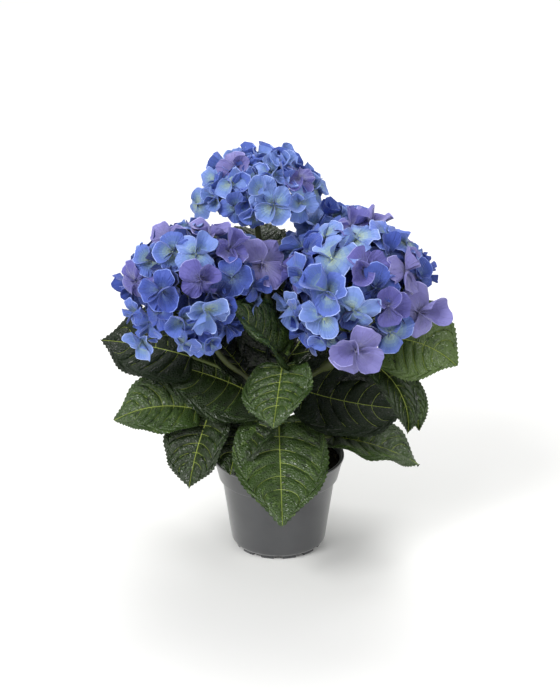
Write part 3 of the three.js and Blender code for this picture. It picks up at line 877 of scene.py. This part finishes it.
# Vertices, faces, veinlet places and finishes of one leaf's blade
def makeBlade(leaf, start, dice):
    place, right = leafPath(leaf, start)
    length, halfWidth = leaf["length"], leaf["width"] / 2
    row, share, kind = (np.array(column)[:, None] for column in zip(*rowTable))
    spread = np.array((0.0,) + blade["spread"])[None, :]
    toEdge = smoothStep(blade["veinEnd"], 1.0, spread)
    veinHalf = np.interp(spread, [0, 0.9, 1], [*blade["sideVein"], blade["sideVein"][1]]) / length
    lead = 0.05 * (1 - row) ** 4 * np.minimum(1, row / blade["firstVein"])
    swept = 1 - (1 - row) ** blade["sweep"] + lead
    along = row + (swept - row) * (0.25 * spread + 0.75 * spread**2)
    along = along + np.where(kind < 2, kind, 0) * veinHalf
    along = along * (1 - toEdge) + marginStations(length, halfWidth) * toEdge
    along = np.clip(along, 0, 1)
    fullHalf = np.maximum(halfWidth * bladeShape(along), 0.0012 * (1 - along) + 0.0003)
    rib = np.minimum(np.interp(row, [0, 1], blade["midrib"]), fullHalf[:, :1] * 0.4)
    teeth = np.arange(len(rowTable))[:, None] % blade["toothRows"] / (blade["toothRows"] - 1)
    teeth = teeth * smoothStep(0.93, 1.0, spread) * blade["tooth"] * np.minimum(1, fullHalf / 0.006)
    lateral = rib + np.maximum(fullHalf - rib, 0) * spread + teeth
    station = bladeStation(along, spread) * length + teeth * 0.6
    pillow = np.where(kind == 2, np.sin(math.pi * np.clip(share, 0.02, 0.98)) ** 0.7, 0.0)
    hump = pillow * (1 - (2 * spread - 1) ** 4) * np.minimum(1, fullHalf / 0.02)
    ridge = np.where(kind == 0, blade["ridge"], 0.0) * (1 - toEdge)
    thick = blade["thickness"] + np.where(kind == 0, blade["ribBelow"], 0.0) * (1 - toEdge)
    fold, roll = math.radians(leaf["fold"]), math.radians(leaf["roll"])
    tops, unders, uvs = [], [], []

    # The path's point, sideways and upright directions at places along the blade
    def stand(stations):
        point, tangent = place(leaf["stalk"] + stations)
        up = np.cross(right, tangent)
        sideways = right * math.cos(roll) + np.cross(tangent, right) * math.sin(roll)
        return point, sideways, up * math.cos(roll) + np.cross(tangent, up) * math.sin(roll)

    for side in (-1, 1):
        phase, turns = dice.uniform(0, wholeTurn), dice.uniform(1.3, 2.4)
        wave = blade["wave"] * np.sin(wholeTurn * turns * along + phase) * spread**2
        lift = lateral * math.sin(fold) * (1.45 - 0.45 * spread) + blade["quilt"] * hump + ridge + wave
        point, sideways, up = stand(station)
        top = point + sideways * (side * lateral * math.cos(fold))[..., None] + up * lift[..., None]
        tops.append(top)
        unders.append(top - up * thick[..., None])
        uvs.append(np.stack([side * lateral * 1000, station * 1000], axis=-1))
    middle, sideways, up = stand(row * length)
    ribTop = middle + up * blade["ribAbove"]
    ribUnder = middle - up * np.interp(row, [0, 1], blade["midribBelow"])[..., None]
    ribUv = np.stack([row * 0, row * length * 1000], axis=-1)
    top = np.concatenate([tops[0][:, ::-1], ribTop, tops[1]], axis=1)
    under = np.concatenate([unders[0][:, ::-1], ribUnder, unders[1]], axis=1)
    uv = np.concatenate([uvs[0][:, ::-1], ribUv, uvs[1]], axis=1)
    uv = np.concatenate([uv.reshape(-1, 2)] * 2)
    return closedSheet(top, under), uv, bladeFinish(leaf["green"], dice)


# Material of each face: a leaf green, the midrib, a side vein or the underside
def bladeFinish(green, dice):
    kinds = np.array([row[2] for row in rowTable])
    side = len(blade["spread"])
    spread = np.array((0.0,) + blade["spread"])
    share = np.concatenate([spread[:0:-1], [0, 0], spread[1:]])
    greens = np.full((len(kinds) - 1, len(share)), green)
    other = dice.uniform(size=greens.shape)
    step = np.where(other < blade["mottle"] / 2, -1, 1) * (other < blade["mottle"])
    greens = np.clip(greens + step, 0, len(leafGreens) - 1)
    veinRow = (kinds[:-1] == -1) | (kinds[:-1] == 0)
    kept = np.repeat(dice.uniform(size=greens.shape)[::2] > blade["gaps"], 2, axis=0)[:len(greens)]
    onVein = veinRow[:, None] & (share < blade["veinEnd"])[None, :]
    top = np.where(onVein & kept, sideVeinSlot, greens)
    top[:, side:side + 2] = midribSlot
    edge = np.full(2 * sum(top.shape), green)
    return np.concatenate([top.ravel(), np.full(top.size, underSlot), edge])


leafMaterials = [*leafGreens, leafMidrib, leafSideVein, leafUnder]
midribSlot, sideVeinSlot, underSlot = (leafMaterials.index(m) for m in leafMaterials[len(leafGreens):])


# Makes the pieces, and gives the lines that the stalks follow and points on every midrib
def makeLeaves():
    dice = np.random.default_rng(blade["seed"])
    stalks, midribs = [], []
    for node, (limb, rows) in foliage.items():
        blades, uvs, finishes = [], [], []
        for row in rows:
            leaf = dict(zip(leafKeys, row))
            start = onLimb(limb, leaf["at"])
            mesh, uv, finish = makeBlade(leaf, start, dice)
            blades.append(mesh)
            uvs.append(uv)
            finishes.append(finish)
            place = leafPath(leaf, start)[0]
            stalk = place(np.linspace(0, leaf["stalk"] + 0.004, 7))[0]
            stalks.append((stalk, np.linspace(*leafStalk["radius"], 7)))
            midribs.append(place(leaf["stalk"] + leaf["length"] * np.linspace(0.1, 0.9, 9))[0])
        piece = meshObject(pieceName(node), *joinedMeshes(blades))
        for material in leafMaterials:
            piece.data.materials.append(material)
        piece.data.polygons.foreach_set("material_index", np.concatenate(finishes).astype(np.int32))
        piece.data.set_sharp_from_angle(angle=math.radians(60))
        setUv(piece, "veinlets", np.concatenate(uvs))
        keepPiece(piece, "leaf", node)
    return stalks, np.concatenate(midribs)


leafStalks, midribs = makeLeaves()
print("leaves made")

# Stems: trunk, boughs and shoots, thicker where leaf stalks join them

stem = {
    "joint": 0.0016,       # extra radius at a leaf joint
    "jointLength": 0.005,
    "relief": 0.0005,
    "grain": 0.003,
    "sides": 14,
}


def makeStems():
    lines = []
    for name, curve in limbCurves.items():
        length = np.linalg.norm(np.diff(curve, axis=0), axis=1).sum()
        share = np.linspace(0, 1, len(curve))
        radii = np.interp(share, [0, 1], limbs[name]["radius"])
        for limb, rows in foliage.values():
            joints = {row[0] for row in rows} if limb == name else ()
            for at in joints:
                away = (share - at) * length / stem["jointLength"]
                radii = radii + stem["joint"] * np.exp(-away**2)
        lines.append((curve, radii))
    piece = makeTubes("stems", lines, stem, stemMaterial)
    keepPiece(piece, "stem", *limbs)
    piece = makeTubes("leafStalks", leafStalks, leafStalk, stalkMaterial)
    keepPiece(piece, "stem")


makeStems()
print("stems made")

# Flower heads. A head is a dome of florets on an ellipsoid: the ones that give it its look come first,
# then others fill the gaps, and a lower layer fills the depth.

# Printed satin of five dye lots, and a sixth row, shade, of dark blues that is painted shade deep in a head:
# the throat, the inner, middle and outer petal, and its rim
# The rim's paler colour is in part the print and in part a painted highlight where the cloth's edge catches
# the light.
families = {
    "blue": ("#9fb3a4", "#7590ab", "#5670b1", "#5d74c5", "#9eb2f2"),
    "sky": ("#aabfa9", "#88a4ba", "#6d8bc7", "#7790d4", "#afc4fd"),
    "deep": ("#7189a6", "#4d63a4", "#394e9c", "#4257ad", "#7e94e1"),
    "violet": ("#8283a8", "#6969a6", "#59579e", "#6361ac", "#9c9edc"),
    "mauve": ("#8e8bac", "#7c7aaf", "#7470ae", "#807dbc", "#aeace6"),
    "shade": ("#455787", "#364787", "#2a3a7b", "#2f4080", "#4b5b99"),
}
familyNames = list(families)

floret = {
    "radius": 0.0194,
    "shapes": 10,
    "rings": (0.05, 0.2, 0.36, 0.52, 0.67, 0.8, 0.9, 0.965, 1.0),
    "columns": 18,
    "lowRings": (0.05, 0.3, 0.6, 0.94, 1.0),
    "lowColumns": 7,
    "halfAngle": 65,       # degrees that a petal spans to each side of its middle
    "thickness": 0.016,    # shares of a petal's length, here and down to the ripple
    "bead": 0.055,
    "reach": (0.86, 1.04),
    "climb": (-0.1, 0.22),
    "curl": (-0.5, 0.3),
    "cupUpper": (0.12, 0.5),
    "cupUnder": (-0.06, 0.26),
    "ripple": (0.05, 0.13),
    "waves": (1.6, 3.4),   # half waves of the ripple from the middle to one side
    "sizeSpread": 0.06,
    "tilt": 0.5,           # radians that a floret leans at most
    "seed": 21,
}
# Shares of the way from one of a family's colours to the next, for the bands from throat to rim
bands = (0.0, 0.55, 1.0, 1.6, 2.3, 3.0, 4.0)
rimBand = len(bands) - 1

# Each head is a dome on its bough: its florets start at the height lowest, take their families by
# shares, and lie over a lower layer of the family under. The first ones are given one by one, as
# (azimuth, height) in degrees on the dome, family, size, and reach against the dome.
# The lower layer's family is painted light: shade paints the dark deep inside a head, and blue paints a head
# whose inside is lit through its petals.
heads = {
    "head_top": {
        "centre": (-0.014, 0.015, 0.333), "radius": 0.057, "rise": 0.040, "turn": 0.3,
        "size": 0.86, "lowest": -0.08, "shares": (0.34, 0.66, 0.0, 0.0, 0.0, 0.0), "under": "blue",
        "florets": [
            (-136, 40, "sky", 1.1, 1.0), (-90, 30, "sky", 1.0, 1.0), (-67, 62, "sky", 1.0, 1.0),
            (-29, 42, "violet", 1.05, 1.0), (-78, 10, "sky", 1.05, 1.0), (-119, 2, "blue", 0.95, 1.0),
            (-172, -12, "sky", 1.0, 1.2), (-165, 60, "mauve", 1.0, 1.0), (55, 62, "sky", 1.0, 1.0),
            (136, 82, "sky", 1.0, 1.0), (-46, 4, "sky", 1.05, 1.0),
            (-145, 8, "sky", 0.95, 1.04), (-5, 15, "sky", 1.0, 1.0), (-100, -16, "blue", 0.95, 1.0),
        ],
    },
    "head_left": {
        "centre": (-0.072, -0.042, 0.269), "radius": 0.065, "rise": 0.060, "turn": 1.1,
        "size": 0.89, "lowest": -0.72, "shares": (0.44, 0.2, 0.16, 0.14, 0.06, 0.0),
        "florets": [
            (-122, 54, "blue", 1.0, 1.0), (-86, 52, "sky", 1.1, 1.02), (-150, 64, "mauve", 1.1, 1.0),
            (-8, 76, "mauve", 1.1, 0.95), (-158, 12, "violet", 1.1, 1.0), (-120, 15, "deep", 1.1, 1.0),
            (-82, 28, "violet", 1.15, 1.0), (-49, 25, "deep", 1.1, 1.0), (-78, -2, "sky", 1.15, 1.02),
            (-99, -14, "blue", 1.0, 1.0), (-150, -42, "sky", 0.95, 1.24), (-102, -44, "blue", 1.05, 1.08),
            (-72, -44, "blue", 1.05, 1.08), (-25, 8, "deep", 0.95, 1.0), (-60, -8, "deep", 0.9, 0.9),
            (-50, -32, "deep", 0.9, 0.92), (-163, -22, "blue", 0.95, 1.02),
            (-148, 38, "blue", 1.0, 1.0), (-6, 22, "mauve", 1.45, 1.12), (-122, -10, "deep", 0.95, 0.98),
            (-33, 50, "violet", 1.0, 1.0), (176, 30, "blue", 0.9, 0.9),
        ],
    },
    "head_right": {
        "centre": (0.0655, -0.042, 0.264), "radius": 0.068, "rise": 0.067, "turn": 2.0,
        "size": 1.04, "lowest": -0.66, "shares": (0.4, 0.2, 0.2, 0.12, 0.08, 0.0),
        "florets": [
            (-118, 45, "sky", 1.2, 1.04), (-148, 23, "blue", 1.1, 1.0), (-114, 18, "blue", 1.15, 1.04),
            (-86, 70, "sky", 1.0, 1.0), (52, 66, "mauve", 1.1, 1.02), (-26, 61, "blue", 1.0, 1.05),
            (-80, 38, "violet", 1.15, 1.0), (-33, 29, "mauve", 1.15, 1.0), (-92, 5, "sky", 1.15, 1.02),
            (-118, -4, "sky", 1.0, 1.0), (-90, -30, "mauve", 1.35, 1.14), (-26, -10, "mauve", 1.3, 1.06),
            (-72, 22, "deep", 1.05, 0.97), (-60, 4, "violet", 1.0, 0.97), (163, 37, "blue", 1.0, 1.0),
            (-10, 47, "blue", 1.0, 1.08), (-143, -10, "blue", 0.9, 1.0), (-40, 48, "deep", 0.9, 0.97),
        ],
    },
    "head_back_right": {
        "centre": (0.044, 0.068, 0.262), "radius": 0.057, "rise": 0.050, "turn": 2.9,
        "size": 0.95, "lowest": -0.5, "shares": (0.46, 0.3, 0.06, 0.1, 0.08, 0.0), "under": "blue",
        "florets": [
            (-60, 77, "blue", 0.95, 0.86), (-109, 52, "sky", 1.0, 1.0), (-50, 48, "blue", 1.0, 1.0),
            (-99, 28, "blue", 1.0, 1.0), (-125, 15, "sky", 0.95, 1.0),
        ],
    },
    "head_back_left": {
        "centre": (-0.058, 0.066, 0.233), "radius": 0.059, "rise": 0.050, "turn": 3.7,
        "size": 0.95, "lowest": -0.5, "shares": (0.44, 0.2, 0.16, 0.12, 0.08, 0.0),
        "florets": [
            (150, 60, "mauve", 1.2, 1.0), (80, 20, "sky", 1.1, 1.0), (120, 5, "violet", 1.1, 1.0),
        ],
    },
}

fill = {
    "directions": 210,
    "reach": (0.96, 1.0),
    "size": (0.86, 1.08),
    "spacing": 0.0190,     # least distance between two florets' middles, times their mean size
    "frontward": (0.45, 0.25),   # how much the first florets and the others turn to the front
    "least": -0.22,        # the steepest that a floret looks down
    "clear": 0.021,        # least distance from a floret's middle to a leaf's midrib
    "lowDirections": 40,
    "lowReach": 0.66,
    "lowSize": (0.8, 1.0),
    # The shade family is painted shade: the dark deep inside a head.
    "under": "shade",      # family of the lower layer where a head names none
    "depth": 0.0105,       # how far a floret's middle lies inside the head's outline
    "seed": 8,
}
flowerStalk = {"radius": (0.0009, 0.0007), "sides": 6, "relief": 0.0, "grain": 0.002}

# Gaps between the heads that stay open from the front: a point on the line of sight, and a radius
clearings = np.array([
    (-0.065, 0, 0.321, 0.018), (-0.036, 0, 0.311, 0.018), (0.013, 0, 0.315, 0.019),
    (-0.051, 0, 0.309, 0.018), (-0.119, 0, 0.304, 0.024), (0.0555, 0, 0.327, 0.0122),
])
sightLine = np.array([0, 0.924, -0.383])


# A petal of unit length as a grid of points, with its inner end at the origin and its middle along +X
def petal(dice, upper, lean, rings, columns):
    u = np.array(rings)[:, None]
    v = 0.985 * np.sin(np.linspace(1, -1, columns + 1) * math.pi / 2)[None, :]
    wobble = 1 + 0.04 * np.sin(3.3 * v + dice.uniform(0, 6))
    wobble = wobble + 0.026 * np.sin(11 * v + dice.uniform(0, 6))
    reach = dice.uniform(*floret["reach"]) * u * (1 - np.abs(v) ** 3.2) ** 0.5 * wobble
    angle = math.radians(floret["halfAngle"]) * v * (1.04 - 0.1 * u)
    climb = lean + dice.uniform(*floret["climb"])
    curl = dice.uniform(*floret["curl"])
    cup = dice.uniform(*floret["cupUpper" if upper else "cupUnder"])
    waves = dice.uniform(*floret["waves"]) * math.pi
    ripple = dice.uniform(*floret["ripple"]) * u**2.5 * np.sin(waves * v + dice.uniform(0, 6))
    ripple = ripple + 0.03 * u**5 * np.sin(12 * v + dice.uniform(0, 6))
    pleats = 0.03 * u * np.sin(4.2 * math.pi * v + dice.uniform(0, 6))
    pleats = pleats + 0.025 * np.sin(9 * u + dice.uniform(0, 6))
    layer = (0.06 if upper else 0.0) * smoothStep(0, 0.3, u)
    z = climb * u**0.9 + curl * u**2 + cup * v**2 * u**1.3 + ripple
    z = z + pleats * smoothStep(0, 0.4, u) + layer
    return np.stack([reach * np.cos(angle), reach * np.sin(angle), z], axis=-1)


# Band of colour of each face of a petal: the throat's patch has its own size, and a wedge's shape
def petalBands(dice, rings, columns):
    middles = (np.array(rings[1:]) + np.array(rings[:-1]))[:, None] / 2
    across = np.abs(np.linspace(-1, 1, columns))[None, :]
    shift = dice.uniform(-0.06, 0.16) + dice.uniform(0.0, 0.22) * across
    band = np.clip(np.floor((middles + shift) * rimBand), 0, rimBand - 1)
    band = band + np.zeros_like(across)
    # The rim band runs along part of each rim: a paler edge, in part the print and in part a painted
    # highlight where the cloth's edge catches the light.
    rimPrintAndHighlight = np.sin(np.linspace(0, dice.uniform(4, 9), columns) + dice.uniform(0, 6))
    band[-1] = np.where(rimPrintAndHighlight > dice.uniform(-1.2, 0.6), rimBand, band[-1])
    return band


# One floret shape of unit radius: two petals over two others and a bead, its faces tagged by band
def floretShape(name, dice, rings, columns):
    parts, tags, uvs = [], [], []
    lean = dice.uniform(0.02, 0.34)
    across = np.linspace(-14, 14, columns + 1)[None, :] * np.ones((len(rings), 1))
    outward = np.array(rings)[:, None] * np.ones((1, columns + 1))
    for number in range(4):
        sheet = petal(dice, number % 2 == 1, lean, rings, columns)
        turn = math.radians(90 * number + dice.uniform(-11, 11))
        x, y = sheet[..., 0].copy(), sheet[..., 1].copy()
        sheet[..., 0] = x * math.cos(turn) - y * math.sin(turn)
        sheet[..., 1] = x * math.sin(turn) + y * math.cos(turn)
        parts.append(closedSheet(sheet, sheet - gridNormals(sheet) * floret["thickness"]))
        band = petalBands(dice, rings, columns)
        below = np.clip(band, 2, rimBand - 1)
        edge = np.full(2 * (len(rings) - 1 + columns), min(band[-1].min(), rimBand - 1))
        tags += [band.ravel(), below.ravel(), edge]
        uv = np.stack([across + 40 * number, outward * 2.5 + 9 * number], axis=-1).reshape(-1, 2)
        uvs += [uv, uv]
    points, quads = bead(floret["bead"], 0.04, 6, 4)
    parts.append((points, quads))
    tags.append(np.zeros(len(quads)))
    uvs.append(points[:, :2])
    piece = meshObject(name, *joinedMeshes(parts))
    setUv(piece, "pleats", np.concatenate(uvs))
    piece.data.set_sharp_from_angle(angle=math.radians(60))
    setAttribute(piece, "band", "FLOAT", "FACE", np.concatenate(tags))
    return piece


# A ball of rings of quads, its two poles closed by rings of almost no width
def bead(radius, height, around, rings):
    turn = np.linspace(0, wholeTurn, around, endpoint=False)[None, :]
    rise = np.linspace(-math.pi / 2, math.pi / 2, rings + 1)[:, None] * 0.98
    flat = radius * np.cos(rise)
    up = height + radius * np.sin(rise) + 0 * turn
    points = np.stack([flat * np.cos(turn), flat * np.sin(turn), up], axis=-1)
    index = np.arange((rings + 1) * around).reshape(rings + 1, around)
    follow = np.roll(index, -1, axis=1)
    sides = np.stack([index[:-1], follow[:-1], follow[1:], index[1:]], axis=-1).reshape(-1, 4)
    return points.reshape(-1, 3), sides


def makeFloretShapes():
    dice = np.random.default_rng(floret["seed"])
    group = bpy.data.collections.new("floretShapes")
    bpy.context.scene.collection.children.link(group)
    for number in range(2 * floret["shapes"]):
        low = number >= floret["shapes"]
        rings = floret["lowRings"] if low else floret["rings"]
        columns = floret["lowColumns"] if low else floret["columns"]
        shape = floretShape(f"floret{number:02d}", dice, rings, columns)
        bpy.context.scene.collection.objects.unlink(shape)
        group.objects.link(shape)
    return group


# Directions spread evenly over a ball: each next one is a golden angle further round
def evenDirections(count, turn):
    index = np.arange(count)
    height = 1 - 2 * (index + 0.5) / count
    flat = np.sqrt(1 - height**2)
    around = turn + index * math.pi * (3 - math.sqrt(5))
    return np.column_stack([flat * np.cos(around), flat * np.sin(around), height])


def onHead(head, direction, reach):
    return np.array(head["centre"]) + direction * (head["radius"], head["radius"], head["rise"]) * reach


def outwardAt(head, direction):
    outward = direction / (head["radius"], head["radius"], head["rise"])
    return outward / np.linalg.norm(outward)


# Where a floret looks: outwards and a little to the front, and never far down
def facingOf(outward, frontward):
    facing = outward + np.array([0, -1, 0.2]) * frontward
    facing = facing / np.linalg.norm(facing)
    facing = np.array([facing[0], facing[1], max(facing[2], fill["least"])])
    return facing / np.linalg.norm(facing)


# Whether a floret there would cover a leaf's midrib or close a clearing
def inTheWay(point):
    near = np.linalg.norm(midribs - point, axis=1).min() < fill["clear"]
    across = clearings[:, :3] - point
    along = across @ sightLine
    aside = np.sqrt(np.maximum((across**2).sum(axis=1) - along**2, 0))
    return near or (aside < clearings[:, 3]).any()


# Florets of a head as (place, outward, size, family, low)
def floretsOf(head, dice, taken):
    placed = []

    def crowded(point, size):
        gap = fill["spacing"]
        return any(np.linalg.norm(point - p) < gap * (0.5 * size + 0.5 * s) for p, s in taken)

    def add(point, facing, size, family):
        placed.append((point, facing, size, family, False))
        taken.append((point, size))

    for azimuth, height, family, size, reach in head["florets"]:
        a, h = math.radians(azimuth), math.radians(height)
        direction = np.array([math.cos(h) * math.cos(a), math.cos(h) * math.sin(a), math.sin(h)])
        outward = outwardAt(head, direction)
        point = onHead(head, direction, reach) - outward * fill["depth"]
        facing = facingOf(outward, fill["frontward"][0])
        add(point, facing, size * head["size"], familyNames.index(family))
    for direction in dice.permutation(evenDirections(fill["directions"], head["turn"])):
        outward = outwardAt(head, direction)
        point = onHead(head, direction, dice.uniform(*fill["reach"])) - outward * fill["depth"]
        size = dice.uniform(*fill["size"]) * head["size"]
        if direction[2] < head["lowest"] or crowded(point, size) or inTheWay(point):
            continue
        family = dice.choice(len(familyNames), p=head["shares"])
        add(point, facingOf(outward, fill["frontward"][1]), size, family)
    under = familyNames.index(head.get("under", fill["under"]))
    for direction in evenDirections(fill["lowDirections"], head["turn"] + 1):
        outward = outwardAt(head, direction)
        point = onHead(head, direction, fill["lowReach"])
        if direction[2] < head["lowest"] or inTheWay(point):
            continue
        placed.append((point, outward, dice.uniform(*fill["lowSize"]), under, True))
    return placed


# Named inputs: the floret shapes, their radius, how much sizes and tilts vary, and the seed
def makeFloretTree(tones):
    tree, given, result = newTree(
        "floretTree", Shapes="collection", Radius="number", SizeSpread="number", Tilt="number",
        Seed="count")
    picked = {"Collection": given["Shapes"], "Separate Children": True, "Reset Children": True}
    shapes = addNode(tree, "GeometryNodeCollectionInfo", picked).outputs[0]
    kinds = {
        "outward": "FLOAT_VECTOR", "size": "FLOAT", "shape": "INT", "family": "FLOAT", "band": "FLOAT"}
    stored = {}
    for name, kind in kinds.items():
        read = addNode(tree, "GeometryNodeInputNamedAttribute", {"Name": name}, data_type=kind)
        stored[name] = read.outputs[0]
    tilt, spread = given["Tilt"], given["SizeSpread"]
    back = addNode(tree, "ShaderNodeMath", {0: tilt, 1: -1.0}, operation="MULTIPLY").outputs[0]
    least = addNode(tree, "ShaderNodeMath", {0: 1.0, 1: spread}, operation="SUBTRACT").outputs[0]
    most = addNode(tree, "ShaderNodeMath", {0: 1.0, 1: spread}, operation="ADD").outputs[0]
    drawn = []
    for number, (low, high) in enumerate(((back, tilt), (back, tilt), (0.0, wholeTurn), (least, most))):
        seed = addNode(tree, "ShaderNodeMath", {0: given["Seed"], 1: number + 1.0}, operation="ADD")
        span = {"Seed": seed.outputs[0], 2: low, 3: high}
        drawn.append(addNode(tree, "FunctionNodeRandomValue", span, data_type="FLOAT").outputs[1])
    facing = addNode(tree, "FunctionNodeAlignRotationToVector", {"Vector": stored["outward"]}, axis="Z")
    lean = addNode(tree, "ShaderNodeCombineXYZ", dict(zip("XYZ", drawn)))
    turn = addNode(tree, "FunctionNodeEulerToRotation", {0: lean.outputs[0]}).outputs[0]
    turned = {"Rotation": facing.outputs[0], "Rotate By": turn}
    aimed = addNode(tree, "FunctionNodeRotateRotation", turned, rotation_space="LOCAL").outputs[0]
    sized = {0: stored["size"], 1: given["Radius"]}
    size = addNode(tree, "ShaderNodeMath", sized, operation="MULTIPLY").outputs[0]
    size = addNode(tree, "ShaderNodeMath", {0: size, 1: drawn[3]}, operation="MULTIPLY").outputs[0]
    copied = {
        "Points": given["Geometry"], "Instance": shapes, "Pick Instance": True,
        "Instance Index": stored["shape"], "Rotation": aimed, "Scale": size}
    copies = addNode(tree, "GeometryNodeInstanceOnPoints", copied).outputs[0]
    last = addNode(tree, "GeometryNodeRealizeInstances", {"Geometry": copies}).outputs[0]
    place = {0: stored["family"], 1: float(len(bands)), 2: stored["band"]}
    tone = addNode(tree, "ShaderNodeMath", place, operation="MULTIPLY_ADD").outputs[0]
    for number, material in enumerate(tones):
        match = {0: tone, 1: float(number), "Epsilon": 0.1}
        chosen = addNode(tree, "FunctionNodeCompare", match, operation="EQUAL").outputs[0]
        finished = {"Geometry": last, "Selection": chosen, "Material": material}
        last = addNode(tree, "GeometryNodeSetMaterial", finished).outputs[0]
    tree.links.new(last, result)
    return tree


# Colour at a place in a row of hex colours, where a whole number is a colour of the row
def between(colours, place):
    first = min(int(place), len(colours) - 2)
    pair = [[int(colour[i:i + 2], 16) for i in (1, 3, 5)] for colour in colours[first:first + 2]]
    mixed = [round(a + (b - a) * (place - first)) for a, b in zip(*pair)]
    return "#" + "".join(f"{value:02x}" for value in mixed)


def makeHeads():
    shapes = makeFloretShapes()
    tones = [
        makePetalMaterial(f"satin{family.capitalize()}{band}", between(colours, step))
        for family, colours in families.items() for band, step in enumerate(bands)
    ]
    tree = makeFloretTree(tones)
    dice = np.random.default_rng(fill["seed"])
    taken, stalks = [], []
    for number, (node, head) in enumerate(heads.items()):
        placed = floretsOf(head, dice, taken)
        places, outward, size, family, low = zip(*placed)
        points = meshObject("floretPoints", places, [])
        shape = [dice.integers(floret["shapes"]) + floret["shapes"] * under for under in low]
        setAttribute(points, "outward", "FLOAT_VECTOR", "POINT", outward)
        setAttribute(points, "size", "FLOAT", "POINT", size)
        setAttribute(points, "family", "FLOAT", "POINT", [float(index) for index in family])
        setAttribute(points, "shape", "INT", "POINT", shape)
        piece = grow(
            pieceName(node, "flowers"), points, tree, Shapes=shapes, Radius=floret["radius"],
            SizeSpread=floret["sizeSpread"], Tilt=floret["tilt"], Seed=number)
        keepPiece(piece, "flower", node)
        stalks += flowerStalks(node.replace("head", "bough"), placed)
    piece = makeTubes("flowerStalks", stalks, flowerStalk, stalkMaterial)
    keepPiece(piece, "stem")
    for shape in list(shapes.objects):
        bpy.data.objects.remove(shape)


# Each floret's stalk leaves the end of the bough and bends out to the floret's back
def flowerStalks(bough, placed):
    hub = onLimb(bough, 0.97)
    t = np.linspace(0, 1, 8)[:, None]
    stalks = []
    for point, outward, *others in placed:
        end = point + outward * 0.0005
        bend = hub * 0.45 + end * 0.55 - outward * 0.012 + np.array([0, 0, 0.004])
        curve = (1 - t) ** 2 * hub + 2 * t * (1 - t) * bend + t**2 * end
        stalks.append((curve, np.linspace(*flowerStalk["radius"], len(t))))
    return stalks


makeHeads()
print("flower heads made")
